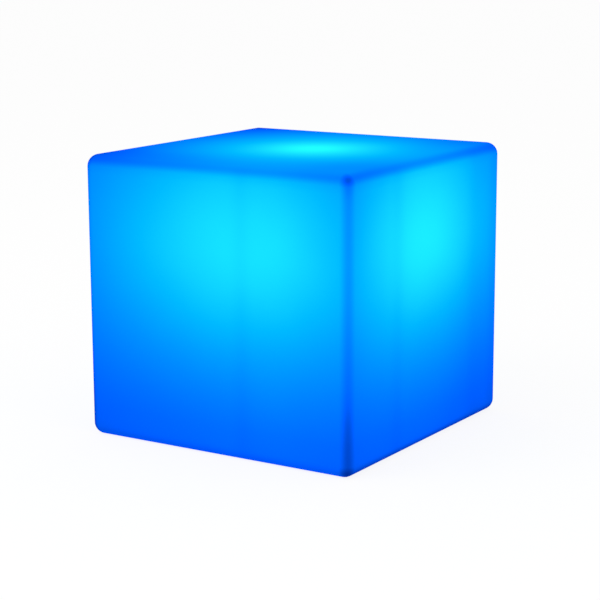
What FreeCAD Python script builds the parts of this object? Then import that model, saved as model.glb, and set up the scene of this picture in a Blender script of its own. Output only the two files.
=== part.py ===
import FreeCAD, Part
import math
import os
import re
import Sketcher

# A glowing cube light for gardens and porches: a one-piece translucent shell, hollow inside, with a
# round recess in its underside.  A sealed, rechargeable light module is screwed into the recess and
# reaches up into the hollow, where a mast carries its light board under an opal cover.
# Origin at the middle of the underside, +Z up, the front face towards -Y.  Sizes are in millimetres.

sizes = {
    # shell
    "cube_width": 430.0,          # left to right
    "cube_depth": 430.0,          # front to back
    "cube_height": 400.0,
    "edge_radius": 17.0,          # rounding of all twelve edges
    "wall": 4.0,                  # wall of the moulded shell
    "recess_radius": 84.0,        # round recess in the underside
    "recess_depth": 18.0,
    "recess_lip": 4.0,            # rounding of the recess mouth
    "opening_radius": 60.0,       # hole in the recess roof that the module passes through
    # screws that hold the module in the shell, and their brass inserts
    "base_screw_count": 6,
    "base_screw_share": 0.6,      # how far out they stand, from the opening's edge to the plate's
    "base_screw_radius": 2.0,
    "base_screw_length": 12.0,
    "base_head_radius": 4.0,
    "base_head_height": 2.6,
    "insert_radius": 3.2,
    "insert_length": 9.0,
    "boss_wall": 3.8,             # shell plastic round and above an insert
    # base plate and its gasket
    "plate_gap": 4.0,             # between the plate's edge and the wall of the recess
    "plate_thickness": 3.0,
    "plate_chamfer": 1.0,
    "spigot_wall": 2.3,           # low ring that centres the plate in the shell's opening
    "spigot_rise": 2.0,           # how far it stands above the recess roof
    "spigot_gap": 1.5,
    "gasket_thickness": 2.0,
    "gasket_setback": 1.0,        # from the edge of the opening
    # module housing
    "housing_wall": 2.2,
    "housing_gap": 0.5,           # between the housing and the plate's low ring
    "housing_seal": 1.5,          # thickness of the ring below the housing
    "deck_thickness": 3.0,
    "column_radius": 5.0,         # screw columns inside the housing
    "column_inset": 6.5,          # from the housing's outside to a column's centre
    "column_length": 14.0,
    "housing_screw_count": 4,
    "small_screw_radius": 1.5,
    "small_head_radius": 2.8,
    "small_head_height": 2.0,
    "housing_screw_length": 14.0,
    # mast that carries the light in the middle of the cube
    "mast_seal": 1.5,
    "mast_foot": 3.0,             # thickness of its foot
    "mast_radius": 21.0,
    "mast_wall": 2.5,
    "mast_length": 118.0,         # from its foot's underside to the underside of its head
    "mast_screw_count": 4,
    "mast_screw_length": 10.0,
    "head_radius": 43.0,
    "head_thickness": 3.0,
    # light board and its cover
    "dome_radius": 34.5,
    "dome_rise": 46.0,            # top of the opal cover above its flange's underside
    "dome_wall": 2.0,
    "dome_round": 26.0,
    "dome_flange": 3.0,
    "dome_seal": 1.5,
    "dome_screw_count": 4,
    "dome_screw_inset": 4.2,      # from the head's edge
    "dome_screw_length": 9.0,
    "dome_boss": 4.0,             # radius of the bosses under the head
    "dome_boss_length": 6.0,
    "spreader_radius": 31.5,
    "spreader_thickness": 2.0,
    "light_board_radius": 31.0,
    "light_board_thickness": 1.6,
    "light_screw_count": 3,
    "light_screw_circle": 19.0,
    "light_screw_length": 5.6,
    "inner_light_count": 6,
    "inner_light_circle": 18.0,
    "outer_light_count": 12,
    "outer_light_circle": 26.0,
    "light_width": 5.0,
    "light_height": 1.6,
    "lens_radius": 1.9,
    "lens_depth": 0.8,
    # remote control receiver in the middle of the light board
    "receiver_width": 6.0,
    "receiver_thickness": 4.0,
    "receiver_height": 7.0,
    "receiver_eye": 2.0,
    "receiver_lift": 1.5,
    "leg_width": 0.5,
    "leg_pitch": 2.0,
    # way of the light board's leads, and the grommet where they pass the deck
    "grommet_place": 9.0,         # in front of the middle
    "grommet_radius": 3.2,
    "grommet_flange": 0.8,
    # battery
    "cell_count": 3,
    "cell_radius": 9.15,
    "cell_length": 65.0,
    "cell_gap": 0.3,
    "cell_row": 18.0,             # the row of cells stands this far behind the middle
    "cell_rim": 0.8,
    "sleeve_wall": 0.3,
    "tab_thickness": 0.3,
    "tab_width": 7.0,
    "tab_setback": 3.0,
    "cradle_wall": 2.2,
    "cradle_floor": 2.0,
    "cradle_height": 20.0,
    "protection_width": 50.0,
    "protection_depth": 15.0,
    "protection_thickness": 1.0,
    "pad_thickness": 7.0,
    # control board
    "board_width": 54.0,
    "board_depth": 34.0,
    "board_thickness": 1.6,
    "board_place": 26.0,          # its middle is this far in front of the middle
    "board_hole_inset": 3.5,
    "board_screw_radius": 1.25,
    "board_head_radius": 2.3,
    "board_head_height": 1.6,
    "board_screw_length": 7.0,
    "standoff_radius": 3.0,
    "standoff_height": 9.0,
    # parts on the control board, each placed from the board's middle
    "chip_width": 9.9,
    "chip_depth": 3.9,
    "chip_height": 1.5,
    "chip_x": -2.0,
    "chip_y": 9.5,
    "chip_leg_count": 7,          # on each side
    "chip_leg_pitch": 1.27,
    "chip_leg_reach": 1.0,
    "coil_width": 7.0,
    "coil_height": 4.0,
    "coil_corner": 1.5,
    "coil_x": 13.0,
    "coil_y": 9.0,
    "capacitor_radius": 4.0,
    "capacitor_height": 10.0,
    "capacitor_x": 15.0,
    "capacitor_y": -9.5,
    "driver_width": 4.5,
    "driver_depth": 2.5,
    "driver_height": 1.5,
    "driver_pitch": 6.5,
    "driver_count": 3,
    "driver_x": -8.5,
    "driver_y": 3.0,
    "header_wall": 0.8,
    "header_depth": 5.8,
    "header_height": 6.0,
    "plug_rise": 2.0,
    "plug_gap": 0.1,
    "battery_header_width": 8.0,
    "battery_header_x": -16.0,
    "battery_header_y": 11.0,
    "light_header_width": 13.0,
    "light_header_x": 0.0,
    "light_header_y": -13.0,
    # status light
    "status_x": 14.0,
    "status_y": 0.5,
    "status_width": 3.2,
    "status_depth": 2.8,
    "status_height": 1.8,
    "pipe_radius": 1.5,
    "pipe_collar": 0.9,
    "pipe_collar_height": 1.5,
    "pipe_stand": 0.5,            # how far the pipe shows below the plate
    # power button and the push switch that it works
    "button_x": 0.0,
    "button_y": -2.0,             # from the control board's middle
    "button_radius": 6.0,
    "button_stand": 3.5,          # how far the cap stands below the plate
    "button_flange": 1.4,
    "button_flange_thickness": 1.0,
    "button_travel": 1.5,
    "button_dish": 0.4,
    "guard_wall": 1.8,
    "guard_stand": 4.0,
    "ring_height": 1.0,
    "ring_depth": 0.9,
    "ring_reach": 0.2,
    "switch_width": 8.0,
    "switch_wall": 0.6,
    "switch_height": 5.5,
    "plunger_radius": 1.5,
    "plunger_shoulder": 0.9,
    "shoulder_thickness": 0.8,
    "plunger_grip": 4.4,          # how deep the plunger sits in the cap
    "spring_radius": 1.7,
    "spring_wire": 0.2,           # radius of its wire
    "spring_turns": 3,
    "pin_width": 0.6,
    "pin_pitch": 3.0,
    "pin_stand": 1.2,             # how far pins stand through the board
    # charging socket
    "socket_x": -41.0,
    "socket_y": 2.0,
    "socket_barrel": 3.9,
    "socket_flange": 5.8,
    "socket_flange_thickness": 1.5,
    "socket_seal": 0.8,
    "socket_seal_inset": 0.5,
    "socket_bore": 2.9,
    "socket_bore_depth": 11.3,
    "socket_length": 16.3,
    "socket_pin_radius": 1.05,
    "socket_pin_setback": 3.0,    # tip of the pin behind the mouth
    "socket_nut_width": 11.0,     # across flats
    "socket_nut_height": 2.5,
    "terminal_rise": 3.0,
    "contact_thickness": 0.4,
    "contact_width": 2.0,
    # soft cover of the charging socket, on a strap
    "cap_radius": 7.5,
    "cap_thickness": 2.4,
    "cap_stub": 2.5,
    "cap_stub_wall": 1.0,
    "strap_width": 5.0,
    "strap_thickness": 1.4,
    "strap_reach": 11.0,          # from the socket's centre to the bend
    "anchor_reach": 17.0,         # from the socket's centre to the anchor
    "anchor_radius": 3.4,
    "anchor_stem": 1.8,
    "anchor_barb": 0.8,
    "anchor_barb_height": 1.6,
    # leads
    "lead_radius": 0.8,
    "lead_bend": 4.0,
    "light_lead_radius": 0.6,
    "light_lead_pitch": 2.5,      # at the plug
    "light_pad_inner": 5.5,       # sideways from the grommet's middle to the leads' ends
    "light_pad_outer": 8.5,
    "light_lead_bunch": 0.8,      # from the grommet's middle to each lead in it
    "light_lead_loop": 4.0,       # how far the leads rise over the board
    # clearances
    "play": 0.3,                  # between pieces that move or only stand beside each other
    "fit": 0.1,                   # round screws, pins and in close fits
}

# Levels and places that follow from the sizes above.
derived = {
    "roof_top": "recess_depth + wall",
    "plate_radius": "recess_radius - plate_gap",
    "base_screw_circle": "opening_radius + base_screw_share * (plate_radius - opening_radius)",
    "plate_top": "recess_depth - gasket_thickness",
    "plate_low": "plate_top - plate_thickness",
    "boss_top": "recess_depth + insert_length + boss_wall",
    "spigot_radius": "opening_radius - spigot_gap",
    "spigot_top": "roof_top + spigot_rise",
    "housing_radius": "spigot_radius - spigot_wall - housing_gap",
    "housing_inside": "housing_radius - housing_wall",
    "housing_low": "plate_top + housing_seal",
    "column_circle": "housing_radius - column_inset",
    "tab_low": "plate_top + cradle_floor",
    "cell_low": "tab_low + tab_thickness",
    "cell_top": "cell_low + cell_length",
    "protection_low": "cell_top + tab_thickness",
    "pad_low": "protection_low + protection_thickness",
    "deck_low": "pad_low + pad_thickness",
    "deck_top": "deck_low + deck_thickness",
    "mast_low": "deck_top + mast_seal",
    "mast_foot_top": "mast_low + mast_foot",
    "mast_inside": "mast_radius - mast_wall",
    "head_low": "mast_low + mast_length",
    "head_top": "head_low + head_thickness",
    "spreader_top": "head_top + spreader_thickness",
    "light_board_top": "spreader_top + light_board_thickness",
    "dome_low": "head_top + dome_seal",
    "flange_top": "dome_low + dome_flange",
    "dome_top": "dome_low + dome_rise",
    "dome_screw_circle": "head_radius - dome_screw_inset",
    "board_low": "plate_top + standoff_height",
    "board_top": "board_low + board_thickness",
    "cell_pitch": "2 * cell_radius + cell_gap",
    "row_half": "(cell_count - 1) / 2 * cell_pitch",
    "sleeve_outside": "cell_radius + fit + sleeve_wall",
    "cap_low": "plate_low - button_stand",
    "button_flange_low": "plate_top + 2 * fit",
    "button_flange_top": "button_flange_low + button_flange_thickness",
    "button_bore": "button_radius + play",
    "ring_low": "plate_low + play",
    "plunger_low": "button_flange_top - plunger_grip",
    "switch_low": "board_low - switch_height",
    "chamber_low": "switch_low + switch_wall",
    "chamber_top": "board_low - switch_wall",
    "shoulder_low": "chamber_low + fit",
    "shoulder_top": "shoulder_low + shoulder_thickness",
    "socket_mouth": "plate_low - socket_seal - socket_flange_thickness",
    "socket_back": "socket_mouth + socket_length",
    "cap_top": "socket_mouth - play",
    "strap_middle": "cap_top - cap_thickness / 2",
    "header_top": "board_top + header_height",
    "plug_top": "header_top + plug_rise",
}

documentName = "cube_light"
doc = FreeCAD.newDocument(documentName)
sheet = doc.addObject("Spreadsheet::Sheet", "Sizes")
for row, (alias, number) in enumerate(sizes.items(), start=1):
    sheet.set(f"A{row}", alias)
    sheet.set(f"B{row}", str(number))
    sheet.setAlias(f"B{row}", alias)
doc.recompute()

parts = []


def formula(text):
    """Spell out a size formula with the sheet's own cells."""
    def swap(match):
        word = match.group(0)
        if word in sizes:
            return f"Sizes.{word}"
        if word in derived:
            return f"({formula(derived[word])})"
        return word
    return re.sub(r"[a-z][a-z0-9_]*", swap, str(text))


def value(text):
    """The number that a size formula gives now."""
    result = sheet.evalExpression(formula(text))
    return float(getattr(result, "Value", result))


def whole(text):
    return int(round(value(text)))


def bind(thing, prop, text):
    thing.setExpression(prop, formula(text))


def keep(thing, label):
    """Give a finished piece the name of its node."""
    thing.Label = label
    parts.append(thing)
    return thing


def place(thing, x="0", y="0", z="0", turn=None):
    """Stand a piece at a place, turned about the upright axis by so many degrees."""
    bind(thing, "Placement.Base.x", x)
    bind(thing, "Placement.Base.y", y)
    bind(thing, "Placement.Base.z", z)
    if turn is not None:
        thing.Placement = FreeCAD.Placement(thing.Placement.Base, FreeCAD.Rotation(up, value(turn)))
        bind(thing, "Placement.Rotation.Angle", turn)
    return thing


up = FreeCAD.Vector(0, 0, 1)


def newBody(name):
    return doc.addObject("PartDesign::Body", name)


def originPiece(body, role):
    return next(piece for piece in body.Origin.OriginFeatures if piece.Role == role)


def newSketch(body, name, role="XY_Plane", offset="0"):
    sketch = body.newObject("Sketcher::SketchObject", name)
    sketch.AttachmentSupport = [(originPiece(body, role), "")]
    sketch.MapMode = "FlatFace"
    bind(sketch, "AttachmentOffset.Base.z", offset)
    return sketch


def pin(sketch, kind, index, point, text):
    """Hold one coordinate of a sketch point at a size formula."""
    spot = sketch.addConstraint(Sketcher.Constraint(kind, -1, 1, index, point, value(text)))
    bind(sketch, f"Constraints[{spot}]", text)


def drawOutline(sketch, corners):
    """A closed outline with straight sides through corners given as size formulas."""
    spots = [FreeCAD.Vector(value(x), value(y), 0) for x, y in corners]
    first = sketch.GeometryCount
    count = len(corners)
    for index in range(count):
        sketch.addGeometry(Part.LineSegment(spots[index], spots[(index + 1) % count]))
    for index in range(count):
        following = first + (index + 1) % count
        sketch.addConstraint(Sketcher.Constraint("Coincident", first + index, 2, following, 1))
    for index, (x, y) in enumerate(corners):
        pin(sketch, "DistanceX", first + index, 1, x)
        pin(sketch, "DistanceY", first + index, 1, y)


def drawCircle(sketch, x, y, radius):
    centre = FreeCAD.Vector(value(x), value(y), 0)
    index = sketch.addGeometry(Part.Circle(centre, up, value(radius)))
    pin(sketch, "DistanceX", index, 3, x)
    pin(sketch, "DistanceY", index, 3, y)
    spot = sketch.addConstraint(Sketcher.Constraint("Radius", index, value(radius)))
    bind(sketch, f"Constraints[{spot}]", radius)


def rectangle(x, y, width, depth):
    left, right = f"{x} - ({width}) / 2", f"{x} + ({width}) / 2"
    front, back = f"{y} - ({depth}) / 2", f"{y} + ({depth}) / 2"
    return [(left, front), (right, front), (right, back), (left, back)]


def pad(body, sketch, height):
    feature = body.newObject("PartDesign::Pad", sketch.Name + "_pad")
    feature.Profile = sketch
    bind(feature, "Length", height)
    body.Tip = feature
    return feature


def pocket(body, sketch, height):
    """Cut upwards from the sketch, and make sure that something was cut."""
    doc.recompute()
    before = body.Shape.Volume
    feature = body.newObject("PartDesign::Pocket", sketch.Name + "_cut")
    feature.Profile = sketch
    feature.Reversed = True
    bind(feature, "Length", height)
    body.Tip = feature
    doc.recompute()
    if body.Shape.Volume >= before:
        raise RuntimeError(f"{sketch.Name} cuts nothing")
    return feature


def revolve(body, name, corners):
    """A turned form: its half outline is (radius, height) corners beside the upright axis."""
    sketch = newSketch(body, name, "XZ_Plane")
    drawOutline(sketch, corners)
    feature = body.newObject("PartDesign::Revolution", name + "_turned")
    feature.Profile = sketch
    feature.ReferenceAxis = (sketch, ["V_Axis"])
    feature.Angle = 360
    body.Tip = feature
    return feature


def turned(label, corners, x="0", y="0", kept=True):
    body = newBody(label)
    revolve(body, label + "_outline", corners)
    place(body, x, y)
    return keep(body, label) if kept else body


def ring(label, inside, outside, low, high, **spot):
    return turned(label, [(inside, low), (outside, low), (outside, high), (inside, high)], **spot)


def disc(label, radius, low, high, **spot):
    return ring(label, "0", radius, low, high, **spot)


def block(label, width, depth, low, high, x="0", y="0", kept=True):
    body = newBody(label)
    sketch = newSketch(body, label + "_outline", offset=low)
    drawOutline(sketch, rectangle("0", "0", width, depth))
    pad(body, sketch, f"{high} - ({low})")
    place(body, x, y)
    return keep(body, label) if kept else body


def addPost(body, name, x, y, radius, low, high):
    sketch = newSketch(body, name, offset=low)
    drawCircle(sketch, x, y, radius)
    return pad(body, sketch, f"{high} - ({low})")


def drill(body, name, x, y, radius, low, high):
    sketch = newSketch(body, name, offset=low)
    drawCircle(sketch, x, y, radius)
    return pocket(body, sketch, f"{high} - ({low})")


def around(body, feature, count):
    """Repeat a feature evenly round the body's upright axis."""
    pattern = body.newObject("PartDesign::PolarPattern", feature.Name + "_round")
    pattern.Originals = [feature]
    pattern.Axis = (originPiece(body, "Z_Axis"), [""])
    pattern.Angle = 360
    bind(pattern, "Occurrences", count)
    body.Tip = pattern
    return pattern


def soften(body, radius, wanted):
    """Round the edges of a body for which wanted(edge) is true."""
    doc.recompute()
    base = body.Tip
    names = [f"Edge{index}" for index, edge in enumerate(base.Shape.Edges, start=1) if wanted(edge)]
    if not names:
        raise RuntimeError(f"{body.Label} has no edge to round")
    feature = body.newObject("PartDesign::Fillet", body.Name + "_round" + str(len(body.Group)))
    feature.Base = (base, names)
    bind(feature, "Radius", radius)
    body.Tip = feature
    doc.recompute()
    return feature


def circleAt(radius, height):
    """A test for the round edge of this radius at this height."""
    def wanted(edge):
        curve = edge.Curve
        if not isinstance(curve, Part.Circle):
            return False
        sameRadius = abs(curve.Radius - value(radius)) < 0.001
        return sameRadius and abs(curve.Center.z - value(height)) < 0.001
    return wanted


def combine(kind, label, base, tool, kept=False):
    """Cut a tool from a base, or join them."""
    thing = doc.addObject(kind, label)
    thing.Base = base
    thing.Tool = tool
    thing.Refine = True
    return keep(thing, label) if kept else thing


def copies(label, pattern, spots):
    """Separate like pieces, one at each (x, y, turn), in one node."""
    links = []
    for x, y, turn in spots:
        link = doc.addObject("App::Link", label + "_copy")
        link.LinkedObject = pattern
        link.LinkTransform = False
        place(link, x, y, turn=turn)
        links.append(link)
    group = doc.addObject("Part::Compound", label)
    group.Links = links
    return keep(group, label)


def circleSpots(radius, count, phase="0"):
    """Places evenly round a circle, each piece turned with its place."""
    spots = []
    for index in range(whole(count)):
        turn = f"{phase} + {index} * 360 / {count}"
        spots.append((f"({radius}) * cos({turn})", f"({radius}) * sin({turn})", turn))
    return spots


def screw(name, headRadius, headHeight, shankRadius, seat, length, upwards=True):
    """One pan head screw on the upright axis; its head bears on the level called seat."""
    sign = "+" if upwards else "-"
    back = "-" if upwards else "+"
    corner = f"({headHeight}) / 3"
    slot = f"({headHeight}) / 2"
    tip = f"({shankRadius}) / 2"
    corners = [
        ("0", f"{seat} {back} {headHeight} {sign} {slot}"),
        (f"({headRadius}) / 2.2", f"{seat} {back} {headHeight} {sign} {slot}"),
        (f"({headRadius}) / 2.2", f"{seat} {back} {headHeight}"),
        (f"{headRadius} - {corner}", f"{seat} {back} {headHeight}"),
        (f"{headRadius}", f"{seat} {back} {headHeight} {sign} {corner}"),
        (f"{headRadius}", f"{seat}"),
        (f"{shankRadius}", f"{seat}"),
        (f"{shankRadius}", f"{seat} {sign} {length} {back} {tip}"),
        (tip, f"{seat} {sign} {length}"),
        ("0", f"{seat} {sign} {length}"),
    ]
    return turned(name, corners, kept=False)


def tube(label, points, radius, bend):
    """A lead along straight runs joined by tangent arcs, made as one solid."""
    spots = [FreeCAD.Vector(*(value(part) for part in point)) for point in points]
    reach = value(bend)
    edges = []
    start = spots[0]
    length = 0.0
    for before, corner, after in zip(spots, spots[1:], spots[2:]):
        towards = (corner - before).normalize()
        away = (after - corner).normalize()
        turn = towards.getAngle(away)
        room = 0.45 * min((corner - before).Length, (after - corner).Length)
        radiusHere = min(reach, room / math.tan(turn / 2))
        setback = radiusHere * math.tan(turn / 2)
        first = corner - towards * setback
        last = corner + away * setback
        inward = (away - towards).normalize()
        depth = radiusHere / math.cos(turn / 2) - radiusHere
        edges.append(Part.LineSegment(start, first).toShape())
        edges.append(Part.Arc(first, corner + inward * depth, last).toShape())
        length += (first - start).Length + radiusHere * turn
        start = last
    edges.append(Part.LineSegment(start, spots[-1]).toShape())
    length += (spots[-1] - start).Length
    path = Part.Wire(edges)
    section = Part.Wire([Part.Circle(spots[0], spots[1] - spots[0], value(radius)).toShape()])
    solid = path.makePipeShell([section], True, False)
    share = solid.Volume / (math.pi * value(radius) ** 2 * length)
    if abs(share - 1) > 0.01:
        raise RuntimeError(f"{label} has {share:.3f} of the volume that its route gives")
    return solid


def lead(label, points, radius="lead_radius", bend="lead_bend"):
    feature = doc.addObject("Part::Feature", label)
    feature.Shape = tube(label, points, radius, bend)
    return keep(feature, label)


def coil(label, radius, height, turns, wire):
    """A wire wound up from level 0; each quarter turn of its line is two arcs that touch."""
    radiusHere = value(radius)
    wireHere = value(wire)
    quarters = 4 * whole(turns)
    rise = value(height) / quarters
    slope = rise / (radiusHere * math.pi / 2)

    def spotAt(quarter):
        angle = quarter * math.pi / 2
        return FreeCAD.Vector(radiusHere * math.cos(angle), radiusHere * math.sin(angle), rise * quarter)

    def headingAt(quarter):
        angle = quarter * math.pi / 2
        return FreeCAD.Vector(-math.sin(angle), math.cos(angle), slope).normalize()

    edges = []
    for quarter in range(quarters):
        start, end = spotAt(quarter), spotAt(quarter + 1)
        leaving, arriving = headingAt(quarter), headingAt(quarter + 1)
        chord = end - start
        along = chord.dot(leaving + arriving)
        bend = 2 * (1 - leaving.dot(arriving))
        reach = (math.sqrt(along ** 2 + bend * chord.dot(chord)) - along) / bend
        firstCorner = start + leaving * reach
        lastCorner = end - arriving * reach
        middle = (firstCorner + lastCorner) * 0.5
        for before, corner, after in ((start, firstCorner, middle), (middle, lastCorner, end)):
            weight = (after - before).Length / (2 * reach)
            top = (before + after + corner * (2 * weight)) * (1 / (2 + 2 * weight))
            edges.append(Part.Arc(before, top, after).toShape())
    path = Part.Wire(edges)
    section = Part.Wire([Part.Circle(spotAt(0), headingAt(0), wireHere).toShape()])
    solid = path.makePipeShell([section], True, False)
    share = solid.Volume / (math.pi * wireHere ** 2 * path.Length)
    if abs(share - 1) > 0.01:
        raise RuntimeError(f"{label} has {share:.3f} of the volume that its line gives")
    fine = 12
    line = [spotAt(index / fine) for index in range(quarters * fine + 1)]
    least = min((line[later] - line[first]).Length for first in range(len(line))
                for later in range(first + 2 * fine, len(line)))
    print(f"{label}: {whole(turns)} turns, least gap between turns {least - 2 * wireHere:.2f} mm")
    return solid


# Shell: an outer form less a hollow, with the recess moulded up into the hollow.

def roundedBlock(name, width, depth, low, high, radius):
    body = block(name, width, depth, low, high, kept=False)
    soften(body, radius, lambda edge: True)
    return body


def makeShell():
    outside = roundedBlock("shell_outside", "cube_width", "cube_depth", "0", "cube_height", "edge_radius")
    inside = roundedBlock("shell_inside", "cube_width - 2 * wall", "cube_depth - 2 * wall", "wall",
                          "cube_height - wall", "edge_radius - wall")
    pot = disc("recess_wall", "recess_radius + wall", "0", "roof_top", kept=False)
    bosses = addPost(pot, "insert_boss", "base_screw_circle", "0", "insert_radius + boss_wall",
                     "recess_depth", "boss_top")
    around(pot, bosses, "base_screw_count")
    hollow = combine("Part::Cut", "shell_hollow", inside, pot)
    walls = combine("Part::Cut", "shell_walls", outside, hollow)

    # The space of the recess widens at its mouth, where the shell's edge is rounded.
    space = turned("recess_space", [
        ("0", "-recess_depth"), ("recess_radius + wall + recess_lip", "-recess_depth"),
        ("recess_radius + wall + recess_lip", "0"), ("recess_radius", "0"),
        ("recess_radius", "recess_depth"), ("opening_radius", "recess_depth"),
        ("opening_radius", "roof_top + wall"), ("0", "roof_top + wall"),
    ], kept=False)
    soften(space, "recess_lip", circleAt("recess_radius", "0"))
    socket = addPost(space, "insert_hole", "base_screw_circle", "0", "insert_radius", "plate_top",
                     "recess_depth + insert_length")
    around(space, socket, "base_screw_count")
    tipRoom = addPost(space, "screw_tip_hole", "base_screw_circle", "0", "base_screw_radius + fit",
                      "plate_top", "recess_depth + insert_length + boss_wall / 2")
    around(space, tipRoom, "base_screw_count")
    combine("Part::Cut", "cube_shell", walls, space, kept=True)


def makeBase():
    insert = ring("insert_pattern", "base_screw_radius + fit", "insert_radius", "recess_depth",
                  "recess_depth + insert_length", kept=False)
    spots = circleSpots("base_screw_circle", "base_screw_count")
    copies("thread_inserts", insert, spots)

    gasket = ring("base_gasket", "opening_radius + gasket_setback", "plate_radius", "plate_top",
                  "recess_depth")
    hole = drill(gasket, "gasket_hole", "base_screw_circle", "0", "base_screw_radius + play",
                 "plate_top", "recess_depth")
    around(gasket, hole, "base_screw_count")

    pattern = screw("base_screw_pattern", "base_head_radius", "base_head_height", "base_screw_radius",
                    "plate_low", "base_screw_length")
    copies("base_screws", pattern, spots)


def makePlate():
    plate = turned("base_plate", [
        ("0", "plate_low"), ("plate_radius - plate_chamfer", "plate_low"),
        ("plate_radius", "plate_low + plate_chamfer"), ("plate_radius", "plate_top"),
        ("spigot_radius", "plate_top"), ("spigot_radius", "spigot_top"),
        ("spigot_radius - spigot_wall", "spigot_top"), ("spigot_radius - spigot_wall", "plate_top"),
        ("0", "plate_top"),
    ])
    addPost(plate, "button_guard", buttonX, buttonY, "button_bore + guard_wall",
            "plate_low - guard_stand", "plate_low")
    for index, (x, y) in enumerate(boardHoles):
        addPost(plate, f"standoff_{index}", x, y, "standoff_radius", "plate_top", "board_low")
        drill(plate, f"standoff_hole_{index}", x, y, "board_screw_radius + fit", "plate_top", "board_low")
    hole = drill(plate, "base_screw_hole", "base_screw_circle", "0", "base_screw_radius + play",
                 "plate_low", "plate_top")
    around(plate, hole, "base_screw_count")
    for index, (x, y, turn) in enumerate(housingSpots):
        drill(plate, f"housing_screw_hole_{index}", x, y, "small_screw_radius + fit", "plate_low",
              "plate_top")
    drill(plate, "button_hole", buttonX, buttonY, "button_bore", "plate_low - guard_stand", "plate_top")
    drill(plate, "socket_hole", "socket_x", "socket_y", "socket_barrel + fit", "plate_low", "plate_top")
    drill(plate, "light_pipe_hole", statusX, statusY, "pipe_radius + fit", "plate_low", "plate_top")
    drill(plate, "anchor_hole", "socket_x + anchor_reach", "socket_y", "anchor_stem + fit", "plate_low",
          "plate_top")


# Places on the control board, worked out from its middle.
boardX = "0"
boardY = "-board_place"
buttonX = "button_x"
buttonY = f"{boardY} + button_y"
statusX = "status_x"
statusY = f"{boardY} + status_y"
boardHoles = []
for sideways in ("-", ""):
    for forwards in ("-", "+"):
        holeX = f"{sideways}(board_width / 2 - board_hole_inset)"
        holeY = f"{boardY} {forwards} (board_depth / 2 - board_hole_inset)"
        boardHoles.append((holeX, holeY))
bunch = [("-light_lead_bunch", "-light_lead_bunch"), ("-light_lead_bunch", "light_lead_bunch"),
         ("light_lead_bunch", "light_lead_bunch"), ("light_lead_bunch", "-light_lead_bunch")]
housingSpots = circleSpots("column_circle", "housing_screw_count", "45")
mastSpots = circleSpots("column_circle", "mast_screw_count", "0")
domeSpots = circleSpots("dome_screw_circle", "dome_screw_count", "45")
lightScrewSpots = circleSpots("light_screw_circle", "light_screw_count", "90")


def makeHousing():
    housing = turned("module_housing", [
        ("housing_inside", "housing_low"), ("housing_radius", "housing_low"),
        ("housing_radius", "deck_top"), ("0", "deck_top"), ("0", "deck_low"),
        ("housing_inside", "deck_low"),
    ])
    for index, (x, y, turn) in enumerate(housingSpots):
        addPost(housing, f"foot_column_{index}", x, y, "column_radius", "housing_low",
                "housing_low + column_length")
        drill(housing, f"foot_hole_{index}", x, y, "small_screw_radius + fit", "housing_low",
              "housing_low + column_length - 1")
    for index, (x, y, turn) in enumerate(mastSpots):
        addPost(housing, f"deck_column_{index}", x, y, "column_radius", "deck_low - column_length / 2",
                "deck_low")
        drill(housing, f"deck_hole_{index}", x, y, "small_screw_radius + fit",
              "deck_low - column_length / 2 + 1", "deck_top")
    drill(housing, "grommet_hole", "0", "-grommet_place", "grommet_radius", "deck_low", "deck_top")

    ring("housing_seal_ring", "column_circle + column_radius - housing_wall", "housing_radius",
         "plate_top", "housing_low")
    pattern = screw("housing_screw_pattern", "small_head_radius", "small_head_height",
                    "small_screw_radius", "plate_low", "housing_screw_length")
    copies("housing_screws", pattern, housingSpots)


def makeMast():
    """A tube on a wide foot, with a flat head on which the light board lies."""
    mast = turned("light_mast", [
        ("mast_inside", "mast_low"), ("housing_radius", "mast_low"), ("housing_radius", "mast_foot_top"),
        ("mast_radius", "mast_foot_top"), ("mast_radius", "head_low"), ("head_radius", "head_low"),
        ("head_radius", "head_top"), ("0", "head_top"), ("0", "head_low"), ("mast_inside", "head_low"),
    ])
    for index, (x, y, turn) in enumerate(domeSpots):
        addPost(mast, f"head_boss_{index}", x, y, "dome_boss", "head_low - dome_boss_length", "head_low")
        drill(mast, f"head_hole_{index}", x, y, "small_screw_radius + fit",
              "head_low - dome_boss_length + 1", "head_top")
    for index, (x, y, turn) in enumerate(lightScrewSpots):
        drill(mast, f"light_screw_hole_{index}", x, y, "small_screw_radius + fit", "head_low",
              "head_top")
    for index, (x, y, turn) in enumerate(mastSpots):
        drill(mast, f"foot_screw_hole_{index}", x, y, "small_screw_radius + fit", "mast_low",
              "mast_foot_top")
    drill(mast, "head_lead_hole", "0", "-grommet_place", "grommet_radius", "head_low", "head_top")

    seal = ring("mast_seal_ring", "column_circle - column_radius", "housing_radius", "deck_top",
                "mast_low")
    for index, (x, y, turn) in enumerate(mastSpots):
        drill(seal, f"mast_seal_hole_{index}", x, y, "small_screw_radius + fit", "deck_top", "mast_low")
    pattern = screw("mast_screw_pattern", "small_head_radius", "small_head_height",
                    "small_screw_radius", "mast_foot_top", "mast_screw_length", upwards=False)
    copies("mast_screws", pattern, mastSpots)


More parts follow.
